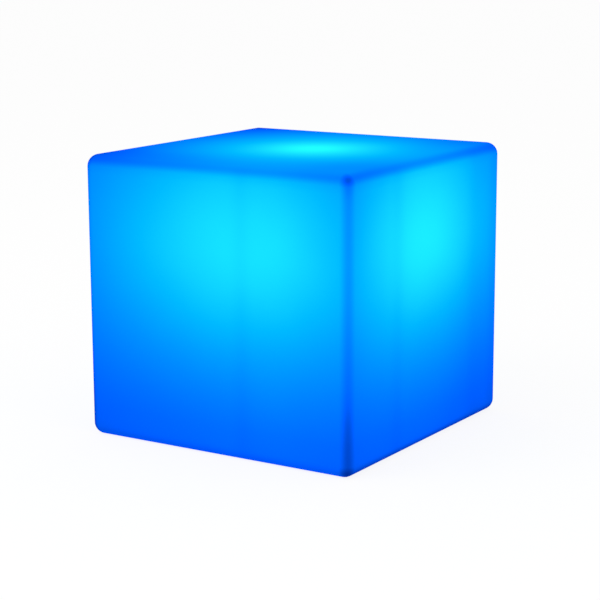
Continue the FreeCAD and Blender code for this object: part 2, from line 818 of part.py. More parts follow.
def makeLight():
    spreader = disc("heat_spreader", "spreader_radius", "head_top", "spreader_top")
    board = disc("light_board", "light_board_radius", "spreader_top", "light_board_top")
    for body, low, high in ((spreader, "head_top", "spreader_top"),
                            (board, "spreader_top", "light_board_top")):
        for index, (x, y, turn) in enumerate(lightScrewSpots):
            drill(body, f"{body.Name}_hole_{index}", x, y, "small_screw_radius + fit", low, high)
        drill(body, f"{body.Name}_lead_hole", "0", "-grommet_place", "grommet_radius", low, high)
    drill(spreader, "leg_room", "0", "0", "leg_pitch + 2 * leg_width", "head_top", "spreader_top")
    for index in (-1, 0, 1):
        drill(board, f"leg_hole_{index + 1}", f"{index} * leg_pitch", "0", "leg_width", "spreader_top",
              "light_board_top")
    pattern = screw("light_screw_pattern", "small_head_radius", "small_head_height",
                    "small_screw_radius", "light_board_top", "light_screw_length", upwards=False)
    copies("light_board_screws", pattern, lightScrewSpots)

    spots = circleSpots("inner_light_circle", "inner_light_count")
    spots += circleSpots("outer_light_circle", "outer_light_count")
    chip = block("light_pattern", "light_width", "light_width", "light_board_top",
                 "light_board_top + light_height", kept=False)
    drill(chip, "light_well", "0", "0", "lens_radius", "light_board_top + light_height - lens_depth",
          "light_board_top + light_height")
    copies("light_chips", chip, spots)
    lens = disc("lens_pattern", "lens_radius", "light_board_top + light_height - lens_depth",
                "light_board_top + light_height - lens_depth / 4", kept=False)
    copies("light_lenses", lens, spots)


def makeReceiver():
    low = "light_board_top + receiver_lift"
    body = block("receiver", "receiver_width", "receiver_thickness", low, f"{low} + receiver_height",
                 kept=False)
    eye = doc.addObject("Part::Sphere", "receiver_eye_ball")
    bind(eye, "Radius", "receiver_eye")
    place(eye, "0", "0", f"{low} + receiver_height")
    combine("Part::Fuse", "remote_receiver", body, eye, kept=True)

    leg = block("receiver_leg_pattern", "leg_width", "leg_width", "spreader_top - leg_width", low,
                kept=False)
    copies("receiver_legs", leg, [(f"{index} * leg_pitch", "0", "0") for index in (-1, 0, 1)])


def makeDome():
    top = "dome_top"
    dome = turned("light_cover", [
        ("dome_radius - dome_wall", "dome_low"), ("head_radius", "dome_low"),
        ("head_radius", "flange_top"), ("dome_radius", "flange_top"), ("dome_radius", top),
        ("0", top), ("0", "dome_top - dome_wall"), ("dome_radius - dome_wall", "dome_top - dome_wall"),
    ])
    soften(dome, "dome_round", circleAt("dome_radius", "dome_top"))
    soften(dome, "dome_round - dome_wall", circleAt("dome_radius - dome_wall", "dome_top - dome_wall"))
    seal = ring("cover_seal_ring", "dome_radius - dome_wall", "head_radius", "head_top", "dome_low")
    for index, (x, y, turn) in enumerate(domeSpots):
        drill(dome, f"cover_hole_{index}", x, y, "small_screw_radius + fit", "dome_low", "flange_top")
        drill(seal, f"cover_seal_hole_{index}", x, y, "small_screw_radius + fit", "head_top", "dome_low")
    pattern = screw("cover_screw_pattern", "small_head_radius", "small_head_height",
                    "small_screw_radius", "flange_top", "dome_screw_length", upwards=False)
    copies("cover_screws", pattern, domeSpots)

    # The grommet is a short spool, gripped by the deck, with a way through for each lead.
    spool = turned("lead_grommet", [
        ("0", "deck_low - grommet_flange"), ("grommet_radius + grommet_flange", "deck_low - grommet_flange"),
        ("grommet_radius + grommet_flange", "deck_low"), ("grommet_radius", "deck_low"),
        ("grommet_radius", "deck_top"), ("grommet_radius + grommet_flange", "deck_top"),
        ("grommet_radius + grommet_flange", "deck_top + grommet_flange"),
        ("0", "deck_top + grommet_flange"),
    ], y="-grommet_place")
    for index, (x, y) in enumerate(bunch):
        drill(spool, f"lead_way_{index}", x, y, "light_lead_radius + fit",
              "deck_low - grommet_flange", "deck_top + grommet_flange")


def makeBattery():
    groove = "cell_top - 4 * cell_rim"
    cell = turned("cell_pattern", [
        ("0", "cell_low"), ("cell_radius", "cell_low"), ("cell_radius", groove),
        ("cell_radius - cell_rim", f"{groove} + cell_rim / 2"),
        ("cell_radius - cell_rim", f"{groove} + cell_rim"), ("cell_radius", f"{groove} + 1.5 * cell_rim"),
        ("cell_radius", "cell_top"), ("cell_radius - 2 * cell_rim", "cell_top"),
        ("cell_radius - 2 * cell_rim", "cell_top - cell_rim"), ("cell_radius / 2", "cell_top - cell_rim"),
        ("cell_radius / 2", "cell_top"), ("0", "cell_top"),
    ], kept=False)
    spots = [(f"-(row_half) + {index} * cell_pitch", "cell_row", "0") for index in range(whole("cell_count"))]
    copies("battery_cells", cell, spots)

    # Shrink sleeve round the row of cells: a stadium-shaped tube.
    sleeve = newBody("battery_sleeve")
    for layer, radius in (("outer", "sleeve_outside"), ("inner", "cell_radius + fit")):
        corners = rectangle("0", "0", "2 * row_half", f"2 * ({radius})")
        for part in ("middle", "left", "right"):
            sketch = newSketch(sleeve, f"sleeve_{layer}_{part}", offset="cell_low")
            if part == "middle":
                drawOutline(sketch, corners)
            else:
                drawCircle(sketch, "-row_half" if part == "left" else "row_half", "0", radius)
            shape = pad if layer == "outer" else pocket
            shape(sleeve, sketch, "cell_length")
    place(sleeve, "0", "cell_row")
    keep(sleeve, "battery_sleeve")

    tab = block("tab_pattern", "2 * row_half + 2 * (cell_radius - tab_setback)", "tab_width", "0",
                "tab_thickness", kept=False)
    lower = doc.addObject("App::Link", "lower_tab")
    upper = doc.addObject("App::Link", "upper_tab")
    for link, level in ((lower, "tab_low"), (upper, "cell_top")):
        link.LinkedObject = tab
        link.LinkTransform = False
        place(link, "0", "cell_row", level)
    tabs = doc.addObject("Part::Compound", "battery_tabs")
    tabs.Links = [lower, upper]
    keep(tabs, "battery_tabs")

    width = "2 * (row_half + sleeve_outside + play)"
    depth = "2 * (sleeve_outside + play)"
    cradle = block("battery_cradle", f"{width} + 2 * cradle_wall", f"{depth} + 2 * cradle_wall",
                   "plate_top", "plate_top + cradle_height", y="cell_row")
    room = newSketch(cradle, "cradle_room", offset="tab_low")
    drawOutline(room, rectangle("0", "0", width, depth))
    pocket(cradle, room, "cradle_height - cradle_floor")
    block("protection_board", "protection_width", "protection_depth", "protection_low", "pad_low",
          y="cell_row")
    block("battery_pad", "protection_width - protection_depth", "protection_depth", "pad_low",
          "deck_low", y="cell_row")


def onBoard(x, y):
    return f"{x}", f"{boardY} + {y}"


def makeHeader(name, width, x, y):
    """An open-topped board connector and the plug in it."""
    x, y = onBoard(x, y)
    inside = f"{width} - 2 * header_wall"
    deep = "header_depth - 2 * header_wall"
    header = block(f"{name}_header", width, "header_depth", "board_top", "header_top", x=x, y=y)
    room = newSketch(header, f"{name}_header_room", offset="board_top + header_wall")
    drawOutline(room, rectangle("0", "0", inside, deep))
    pocket(header, room, "header_height - header_wall")
    block(f"{name}_plug", f"{inside} - 2 * plug_gap", f"{deep} - 2 * plug_gap", "board_top + header_wall",
          "plug_top", x=x, y=y)


def makeBoard():
    board = block("control_board", "board_width", "board_depth", "board_low", "board_top", boardX, boardY)
    for index, (x, y) in enumerate(boardHoles):
        drill(board, f"board_hole_{index}", x, f"{y} + board_place", "board_screw_radius + fit",
              "board_low", "board_top")
    for index, (x, y) in enumerate(pinSpots):
        drill(board, f"pin_hole_{index}", f"button_x + {x}", f"button_y + {y}", "pin_width",
              "board_low", "board_top")
    pattern = screw("board_screw_pattern", "board_head_radius", "board_head_height",
                    "board_screw_radius", "board_top", "board_screw_length", upwards=False)
    copies("control_board_screws", pattern, [(x, y, "0") for x, y in boardHoles])

    x, y = onBoard("chip_x", "chip_y")
    block("controller_chip", "chip_width", "chip_depth", "board_top", "board_top + chip_height", x=x, y=y)
    leg = block("chip_leg_pattern", "chip_leg_pitch / 3", "chip_leg_reach", "board_top",
                "board_top + chip_height / 3", kept=False)
    spots = []
    for side in ("-", "+"):
        for index in range(whole("chip_leg_count")):
            along = f"{x} + ({index} - (chip_leg_count - 1) / 2) * chip_leg_pitch"
            spots.append((along, f"{y} {side} (chip_depth + chip_leg_reach) / 2", "0"))
    copies("chip_legs", leg, spots)

    x, y = onBoard("coil_x", "coil_y")
    coil = block("power_coil", "coil_width", "coil_width", "board_top", "board_top + coil_height",
                 x=x, y=y)
    soften(coil, "coil_corner", lambda edge: edge.BoundBox.ZLength > value("coil_height") / 2)
    x, y = onBoard("capacitor_x", "capacitor_y")
    top = "board_top + capacitor_height"
    turned("storage_capacitor", [
        ("0", "board_top"), ("capacitor_radius", "board_top"), ("capacitor_radius", f"{top} - play"),
        ("capacitor_radius - play", top), ("0", top),
    ], x=x, y=y)
    x, y = onBoard("driver_x", "driver_y")
    driver = block("driver_pattern", "driver_width", "driver_depth", "board_top",
                   "board_top + driver_height", kept=False)
    copies("driver_transistors", driver,
           [(f"{x} + {index} * driver_pitch", y, "0") for index in range(whole("driver_count"))])
    makeHeader("battery", "battery_header_width", "battery_header_x", "battery_header_y")
    makeHeader("light", "light_header_width", "light_header_x", "light_header_y")


pinSpots = [(f"{column} * pin_pitch", f"{row} * pin_pitch * 0.8") for column in (-1, 0, 1)
            for row in (-1, 1)]


def makeStatusLight():
    block("status_light", "status_width", "status_depth", "board_low - status_height", "board_low",
          x=statusX, y=statusY)
    turned("light_pipe", [
        ("0", "plate_low - pipe_stand"), ("pipe_radius", "plate_low - pipe_stand"),
        ("pipe_radius", "plate_top"), ("pipe_radius + pipe_collar", "plate_top"),
        ("pipe_radius + pipe_collar", "plate_top + pipe_collar_height"),
        ("pipe_radius", "plate_top + pipe_collar_height"),
        ("pipe_radius", "board_low - status_height - play"), ("0", "board_low - status_height - play"),
    ], x=statusX, y=statusY)


def makeButton():
    rim = "button_radius - 3 * button_dish"
    turned("power_button", [
        ("0", "cap_low + button_dish"), (f"{rim} - button_dish", "cap_low + button_dish"),
        (rim, "cap_low"), ("button_radius - button_dish", "cap_low"),
        ("button_radius", "cap_low + button_dish"), ("button_radius", "ring_low"),
        ("button_radius - ring_depth", "ring_low"), ("button_radius - ring_depth", "ring_low + ring_height"),
        ("button_radius", "ring_low + ring_height"), ("button_radius", "button_flange_low"),
        ("button_radius + button_flange", "button_flange_low"),
        ("button_radius + button_flange", "button_flange_top"),
        ("plunger_radius + fit", "button_flange_top"), ("plunger_radius + fit", "plunger_low"),
        ("0", "plunger_low"),
    ], x=buttonX, y=buttonY)
    ring("button_seal_ring", "button_radius - ring_depth + fit", "button_radius + ring_reach",
         "ring_low", "ring_low + ring_height", x=buttonX, y=buttonY)

    housing = block("switch_housing", "switch_width", "switch_width", "switch_low", "board_low",
                    x=buttonX, y=buttonY)
    drill(housing, "plunger_bore", "0", "0", "plunger_radius + fit", "switch_low", "chamber_low")
    drill(housing, "switch_chamber", "0", "0", "plunger_radius + plunger_shoulder + play",
          "chamber_low", "chamber_top")
    stem = "plunger_radius * 2 / 3"
    stemTop = "chamber_top - button_travel - play"
    turned("switch_plunger", [
        ("0", "plunger_low"), ("plunger_radius", "plunger_low"), ("plunger_radius", "shoulder_low"),
        ("plunger_radius + plunger_shoulder", "shoulder_low"),
        ("plunger_radius + plunger_shoulder", "shoulder_top"), (stem, "shoulder_top"),
        (stem, stemTop), ("0", stemTop),
    ], x=buttonX, y=buttonY)

    # Return spring: one wire wound between the plunger's shoulder and the chamber's roof.
    low = "shoulder_top + spring_wire + fit"
    height = f"chamber_top - spring_wire - fit - ({low})"
    spring = doc.addObject("Part::Feature", "switch_spring")
    spring.Shape = coil("switch_spring", "spring_radius", height, "spring_turns", "spring_wire")
    place(spring, buttonX, buttonY, low)
    keep(spring, "switch_spring")

    contact = block("switch_pin_pattern", "pin_width", "pin_width", "board_low", "board_top + pin_stand",
                    kept=False)
    copies("switch_pins", contact, [(f"{buttonX} + {x}", f"{buttonY} + {y}", "0") for x, y in pinSpots])


def makeSocket():
    spot = {"x": "socket_x", "y": "socket_y"}
    socket = turned("charge_socket", [
        ("socket_bore", "socket_mouth"), ("socket_flange", "socket_mouth"),
        ("socket_flange", "socket_mouth + socket_flange_thickness"),
        ("socket_barrel", "socket_mouth + socket_flange_thickness"), ("socket_barrel", "socket_back"),
        ("socket_pin_radius + fit", "socket_back"),
        ("socket_pin_radius + fit", "socket_mouth + socket_bore_depth"),
        ("socket_bore", "socket_mouth + socket_bore_depth"),
    ], **spot)
    contactX = "socket_bore - contact_thickness"
    slot = newSketch(socket, "contact_slot", offset="socket_mouth + socket_bore_depth")
    drawOutline(slot, rectangle(contactX, "0", "contact_thickness + 2 * fit", "contact_width + 2 * fit"))
    pocket(socket, slot, "socket_length - socket_bore_depth")
    disc("socket_pin", "socket_pin_radius", "socket_mouth + socket_pin_setback",
         "socket_back + terminal_rise", **spot)
    block("socket_contact", "contact_thickness", "contact_width", "socket_mouth + socket_pin_setback",
          "socket_back + terminal_rise", f"socket_x + {contactX}", "socket_y")
    ring("socket_seal_ring", "socket_barrel + fit", "socket_flange - socket_seal_inset",
         "plate_low - socket_seal", "plate_low", **spot)

    # Hexagon nut that holds the socket in the plate.
    nut = doc.addObject("Part::Prism", "nut_block")
    nut.Polygon = 6
    bind(nut, "Circumradius", "socket_nut_width / 2 / cos(30)")
    bind(nut, "Height", "socket_nut_height")
    hole = doc.addObject("Part::Cylinder", "nut_hole")
    bind(hole, "Radius", "socket_barrel + fit")
    bind(hole, "Height", "socket_nut_height")
    for thing in (nut, hole):
        place(thing, "socket_x", "socket_y", "plate_top")
    combine("Part::Cut", "socket_nut", nut, hole, kept=True)


def strapPiece(body, name, start, end, slant="0"):
    """A flat stretch of strap along X, in the body's own place; its start may lean back below."""
    low, high = "strap_middle - strap_thickness / 2", "strap_middle + strap_thickness / 2"
    sketch = newSketch(body, name, "XZ_Plane")
    drawOutline(sketch, [(f"{start} + {slant}", low), (end, low), (end, high), (start, high)])
    pad(body, sketch, "strap_width").Midplane = True


def makeSocketCap():
    stub = "socket_bore - play"
    cap = newBody("socket_cap")
    revolve(cap, "socket_cap_outline", [
        ("0", "cap_top - cap_thickness"), ("cap_radius - play", "cap_top - cap_thickness"),
        ("cap_radius", "cap_top - cap_thickness + play"), ("cap_radius", "cap_top"), (stub, "cap_top"),
        (stub, "cap_top + cap_stub"), (f"{stub} - cap_stub_wall", "cap_top + cap_stub"),
        (f"{stub} - cap_stub_wall", "cap_top"), ("0", "cap_top"),
    ])
    strapPiece(cap, "cap_strap", "cap_radius / 2", "strap_reach")
    bend = newSketch(cap, "cap_bend", "XZ_Plane")
    drawCircle(bend, "strap_reach", "strap_middle", "strap_thickness / 2")
    pad(cap, bend, "strap_width").Midplane = True
    place(cap, "socket_x", "socket_y")
    keep(cap, "socket_cap")

    anchor = newBody("cap_anchor")
    foot = "strap_middle - strap_thickness / 2"
    revolve(anchor, "anchor_outline", [
        ("0", foot), ("anchor_radius", foot), ("anchor_radius", "plate_low"),
        ("anchor_stem", "plate_low"), ("anchor_stem", "plate_top"),
        ("anchor_stem + anchor_barb", "plate_top"),
        ("anchor_stem - anchor_barb", "plate_top + anchor_barb_height"),
        ("0", "plate_top + anchor_barb_height"),
    ])
    # The strap's two stretches meet at its bend; this one leans back, so that the cap can swing far.
    strapPiece(anchor, "anchor_strap", "strap_reach + strap_thickness / 2 + play - anchor_reach", "0",
               "strap_thickness")
    place(anchor, "socket_x + anchor_reach", "socket_y")
    keep(anchor, "cap_anchor")


def makeLeads():
    plugX, plugY = onBoard("battery_header_x", "battery_header_y")
    frontY = "cell_row - sleeve_outside - cradle_wall - 3 * lead_radius"
    overPack = "pad_low + lead_bend"
    for colour, side, inset in (("red", "-", "2"), ("black", "+", "6")):
        startX = f"{plugX} {side} 1.5 * lead_radius"
        landX = f"-(protection_width / 2 - {inset} * lead_radius)"
        lead(f"battery_lead_{colour}", [
            (startX, plugY, "plug_top"), (startX, plugY, "plug_top + 3 * lead_bend"),
            (landX, frontY, "cell_low + cell_length / 2"), (landX, frontY, overPack),
            (landX, "cell_row", overPack), (landX, "cell_row", "pad_low"),
        ])

    contactX = "socket_x + socket_bore - contact_thickness"
    boardSide = "-(board_width / 2 - 3 * lead_radius)"
    rise = "socket_back + terminal_rise"
    for colour, startX, row, bends in (("red", "socket_x", "0", "2"), ("black", contactX, "4", "1")):
        landY = f"-board_place + {row} * lead_radius"
        lead(f"charge_lead_{colour}", [
            (startX, "socket_y", rise), (startX, "socket_y", f"{rise} + 1.5 * lead_bend"),
            (f"{boardSide} - {bends} * lead_bend", landY, f"{rise} + 2 * lead_bend"),
            (boardSide, landY, f"{rise} + lead_bend"), (boardSide, landY, "board_top"),
        ])

    # Four leads from the control board up through the grommet to the light board.
    tubes = []
    plugX, plugY = onBoard("light_header_x", "light_header_y")
    for index, (aside, inwards) in enumerate(bunch):
        startX = f"{plugX} + ({index} - 1.5) * light_lead_pitch"
        side = "-" if index < 2 else ""
        outer = index in (0, 3)
        landX = f"{side}light_pad_outer" if outer else f"{side}light_pad_inner"
        wayX, wayY = aside, f"-grommet_place + {inwards}"
        rise = "light_board_top + light_lead_loop" + (" + 4 * light_lead_radius" if outer else "")
        tubes.append(tube("light_leads", [
            (startX, plugY, "plug_top"), (startX, plugY, "plug_top + 2 * lead_bend"),
            (wayX, wayY, "deck_low - 4 * lead_bend"), (wayX, wayY, rise), (landX, wayY, rise),
            (landX, wayY, "light_board_top"),
        ], "light_lead_radius", "lead_bend"))
    feature = doc.addObject("Part::Feature", "light_leads")
    feature.Shape = Part.makeCompound(tubes)
    keep(feature, "light_leads")


def writeParts():
    doc.recompute()
    for thing in doc.Objects:
        faults = [state for state in thing.State if state in ("Invalid", "Error")]
        if faults:
            raise RuntimeError(f"{thing.Label} failed: {faults}")
    for part in parts:
        if part.Shape.isNull() or not part.Shape.isValid() or not part.Shape.Solids:
            raise RuntimeError(f"{part.Label} has no sound solid")
    os.makedirs("parts", exist_ok=True)
    for part in parts:
        part.Shape.exportStep(os.path.join("parts", f"{part.Label}.step"))
        print(part.Label, len(part.Shape.Solids), "solid(s),", round(part.Shape.Volume, 1), "mm3")
    print(len(parts), "parts")


makeShell()
makeBase()
makePlate()
makeHousing()
makeMast()
makeLight()
makeReceiver()
makeDome()
makeBattery()
makeBoard()
makeStatusLight()
makeButton()
makeSocket()
makeSocketCap()
makeLeads()
writeParts()
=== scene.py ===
import math

import bmesh
import bpy
from mathutils import Matrix, Vector


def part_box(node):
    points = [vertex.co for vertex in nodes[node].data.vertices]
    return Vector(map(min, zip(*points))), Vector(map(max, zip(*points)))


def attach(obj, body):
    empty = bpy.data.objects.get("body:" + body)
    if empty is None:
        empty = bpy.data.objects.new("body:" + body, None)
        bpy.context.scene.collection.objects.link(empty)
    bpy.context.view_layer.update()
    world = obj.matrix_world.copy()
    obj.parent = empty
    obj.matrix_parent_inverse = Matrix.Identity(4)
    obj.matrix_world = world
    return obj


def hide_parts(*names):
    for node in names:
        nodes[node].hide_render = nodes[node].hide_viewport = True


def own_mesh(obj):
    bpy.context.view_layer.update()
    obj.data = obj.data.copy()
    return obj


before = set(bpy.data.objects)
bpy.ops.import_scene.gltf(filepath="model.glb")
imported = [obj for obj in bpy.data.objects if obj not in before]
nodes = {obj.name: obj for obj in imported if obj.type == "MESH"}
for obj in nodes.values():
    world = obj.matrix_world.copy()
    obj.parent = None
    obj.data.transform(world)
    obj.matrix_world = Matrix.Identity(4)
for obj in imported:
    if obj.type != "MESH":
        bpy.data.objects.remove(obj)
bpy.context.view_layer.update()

# A glowing cube light: a milky one-piece shell over a sealed light module.  Metres, +Z up, front towards -Y.

print("frame loaded,", len(nodes), "nodes")


class Reading:
    # a number carried along a material's links, so that a formula reads as one

    def __init__(self, tree, socket):
        self.tree = tree
        self.socket = socket

    def work(self, operation, *others):
        step = self.tree.nodes.new("ShaderNodeMath")
        step.operation = operation
        for place, entry in enumerate((self, *others)):
            if isinstance(entry, Reading):
                self.tree.links.new(entry.socket, step.inputs[place])
            else:
                step.inputs[place].default_value = entry
        return Reading(self.tree, step.outputs[0])

    def __add__(self, other):
        return self.work("ADD", other)

    def __sub__(self, other):
        return self.work("SUBTRACT", other)

    def __mul__(self, other):
        return self.work("MULTIPLY", other)

    def __truediv__(self, other):
        return self.work("DIVIDE", other)

    def __pow__(self, other):
        return self.work("POWER", other)

    __rmul__ = __mul__

    def __rsub__(self, other):
        return self * -1 + other

    def size(self):
        return self.work("ABSOLUTE")

    def atLeast(self, floor):
        return self.work("MAXIMUM", floor)

    def atMost(self, roof):
        return self.work("MINIMUM", roof)

    def above(self, level):
        return self.work("GREATER_THAN", level)

    def below(self, level):
        return self.work("LESS_THAN", level)

    def ramp(self, start, end, low=0.0, high=1.0):
        step = self.tree.nodes.new("ShaderNodeMapRange")
        step.interpolation_type = "SMOOTHSTEP"
        self.tree.links.new(self.socket, step.inputs["Value"])
        for name, entry in (("From Min", start), ("From Max", end), ("To Min", low), ("To Max", high)):
            step.inputs[name].default_value = entry
        return Reading(self.tree, step.outputs["Result"])


socketNames = {
    "colour": "Base Color", "metal": "Metallic", "rough": "Roughness", "gloss": "Specular IOR Level",
    "coat": "Coat Weight", "coatRough": "Coat Roughness", "sheen": "Sheen Weight",
    "sheenRough": "Sheen Roughness", "clear": "Transmission Weight", "bend": "IOR",
    "deep": "Subsurface Weight", "deepScale": "Subsurface Scale",
    "glow": "Emission Color", "glowStrength": "Emission Strength",
}


class Finish:
    # one material while it is being put together; what is constant stays on the shader's own sockets

    def __init__(self, name, **settings):
        self.material = bpy.data.materials.new(name)
        self.material.use_nodes = True
        self.tree = self.material.node_tree
        self.shader = next(step for step in self.tree.nodes if step.type == "BSDF_PRINCIPLED")
        self.where = self.tree.nodes.new("ShaderNodeTexCoord").outputs["Object"]
        self.bumps = None
        for socket, entry in settings.items():
            self.set(socket, entry)

    def set(self, socket, entry):
        target = self.shader.inputs[socketNames[socket]]
        if isinstance(entry, Reading):
            self.tree.links.new(entry.socket, target)
        elif isinstance(entry, bpy.types.NodeSocket):
            self.tree.links.new(entry, target)
        elif isinstance(entry, (tuple, list)):
            target.default_value = (*entry, 1.0)[:4]
        else:
            target.default_value = entry

    def axes(self):
        step = self.tree.nodes.new("ShaderNodeSeparateXYZ")
        self.tree.links.new(self.where, step.inputs[0])
        return [Reading(self.tree, output) for output in step.outputs]

    def stretched(self, stretch):
        if stretch == (1, 1, 1):
            return self.where
        step = self.tree.nodes.new("ShaderNodeMapping")
        step.inputs["Scale"].default_value = stretch
        self.tree.links.new(self.where, step.inputs["Vector"])
        return step.outputs["Vector"]

    def cloud(self, perMetre, detail=3.0, broken=0.5, stretch=(1, 1, 1)):
        step = self.tree.nodes.new("ShaderNodeTexNoise")
        self.tree.links.new(self.stretched(stretch), step.inputs["Vector"])
        step.inputs["Scale"].default_value = perMetre
        step.inputs["Detail"].default_value = detail
        step.inputs["Roughness"].default_value = broken
        return Reading(self.tree, step.outputs[0])

    def cells(self, perMetre):
        step = self.tree.nodes.new("ShaderNodeTexVoronoi")
        self.tree.links.new(self.where, step.inputs["Vector"])
        step.inputs["Scale"].default_value = perMetre
        return Reading(self.tree, step.outputs["Distance"])

    def lines(self, perMetre, along="X", wander=0.0, stretch=(1, 1, 1)):
        step = self.tree.nodes.new("ShaderNodeTexWave")
        step.bands_direction = along
        self.tree.links.new(self.stretched(stretch), step.inputs["Vector"])
        step.inputs["Scale"].default_value = perMetre
        step.inputs["Distortion"].default_value = wander
        step.inputs["Detail"].default_value = 2.0
        return Reading(self.tree, step.outputs["Fac"])

    def between(self, share, first, second):
        step = self.tree.nodes.new("ShaderNodeMix")
        step.data_type = "RGBA"
        self.tree.links.new(share.socket, step.inputs[0])
        for place, entry in ((6, first), (7, second)):
            if isinstance(entry, bpy.types.NodeSocket):
                self.tree.links.new(entry, step.inputs[place])
            else:
                step.inputs[place].default_value = (*entry, 1.0)[:4]
        return step.outputs[2]

    def colourFrom(self, red, green, blue):
        step = self.tree.nodes.new("ShaderNodeCombineColor")
        for place, entry in enumerate((red, green, blue)):
            self.tree.links.new(entry.socket, step.inputs[place])
        return step.outputs[0]

    def raised(self, height, strength, depth):
        step = self.tree.nodes.new("ShaderNodeBump")
        step.inputs["Strength"].default_value = strength
        step.inputs["Distance"].default_value = depth
        self.tree.links.new(height.socket, step.inputs["Height"])
        if self.bumps is not None:
            self.tree.links.new(self.bumps, step.inputs["Normal"])
        self.bumps = step.outputs["Normal"]
        self.tree.links.new(self.bumps, self.shader.inputs["Normal"])


def dress(finish, *names):
    for name in names:
        for holder in nodes[name].material_slots:
            holder.material = finish.material
        if not nodes[name].material_slots:
            nodes[name].data.materials.append(finish.material)


def pieceFrom(build, name, finish):
    # a smooth piece with its finish, from a mesh that was put together
    mesh = bpy.data.meshes.new(name)
    build.to_mesh(mesh)
    build.free()
    for face in mesh.polygons:
        face.use_smooth = True
    mesh.materials.append(finish.material)
    piece = bpy.data.objects.new(name, mesh)
    bpy.context.scene.collection.objects.link(piece)
    return piece


# the shell: milky plastic, lit from inside

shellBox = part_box("cube_shell")
shell = {
    "halfWidth": (shellBox[1].x - shellBox[0].x) / 2,
    "halfDepth": (shellBox[1].y - shellBox[0].y) / 2,
    "height": shellBox[1].z,
    "edgeRound": 0.017,
    "lampLevel": 0.294,        # height of the hot spots on the sides
    "undersideGlow": 0.150,
    "undersideMiddle": 0.105,  # in the shadow of the light module
    "undersideEnds": 0.065,    # towards the right edge
    "recessGlow": 0.16,
    "uprightShade": 0.65,      # how much of the light the thick, bent edges hold back
    "uprightFoot": 0.25,       # more of it near the floor
    "uprightHead": 0.25,       # and right under the top
    "frontTopShade": 0.57,
    "frontTopSkew": 0.6,       # darkest a little below the middle of the bend
    "sideTopShade": 0.78,
    "sideTopSkew": 0.35,
    "underTop": 0.11,          # loss on the sides close below the top
    "footGain": 0.06,          # and gain close above the floor
    "frontFootShade": 0.48,
    "sideFootShade": 0.69,
    "cornerShade": 0.42,       # the brightest corner on top of that, front right
    "farCornerShade": 0.20,    # and the dimmer ones
    "lowShare": 1.03,          # the studio lights the top of the sides more, so the lamp adds less there
    "highLoss": 0.40,          # per metre of height
    "paintedGlowShare": 0.42,         # share of the lamp's glow that is painted into the base colour as painted light
    "lampShare": 0.62,         # share that comes from the lamp inside
    "footZone": (0.020, 0.048),         # heights between which a loss or gain fades
    "headZone": (0.372, 0.390),
    "footShadeZone": (0.065, 0.125),
    "headShadeZone": (0.360, 0.384),
    "moduleZone": (0.08, 0.17),         # distances from the middle of the underside
    "endZone": (0.190, 0.208),
    "redFrom": 0.45,           # the glow is so bright here that it starts to turn pale
    "redGain": 0.028,
    "blueGain": 7.8,
    "blueLeast": 0.1,
    "unevenness": (0.985, 1.015),
}

# one hot spot on each face; the front's leans to the right and the right side's to the front
# bands are faint upright stripes where the glow is a little brighter or darker: middle, half width, share of
# light gained or lost
frontSpot = {"lean": 0.0463, "spread": 0.3116, "down": 0.2000, "up": 0.2448, "peak": 0.741, "least": 0.031,
             "bands": ((0.048, 0.014, -0.058), (0.108, 0.036, 0.030))}
rightSpot = {"lean": -0.0192, "spread": 0.2784, "down": 0.1917, "up": 0.2352, "peak": 0.856, "least": 0.024,
             "bands": ((-0.090, 0.016, -0.062), (-0.170, 0.040, 0.026), (0.130, 0.017, -0.040),
                       (0.172, 0.015, 0.045))}
topSpot = {"leanX": 0.0266, "leanY": 0.0029, "peak": 0.567, "spread": 0.1037,
           "wash": 0.649, "washSpread": 0.2673, "least": -0.120, "frontCorner": 0.068,
           "farCorner": 0.085, "rightEdge": (0.205, 0.040, 0.045), "frontEdge": (-0.205, 0.030, 0.030)}


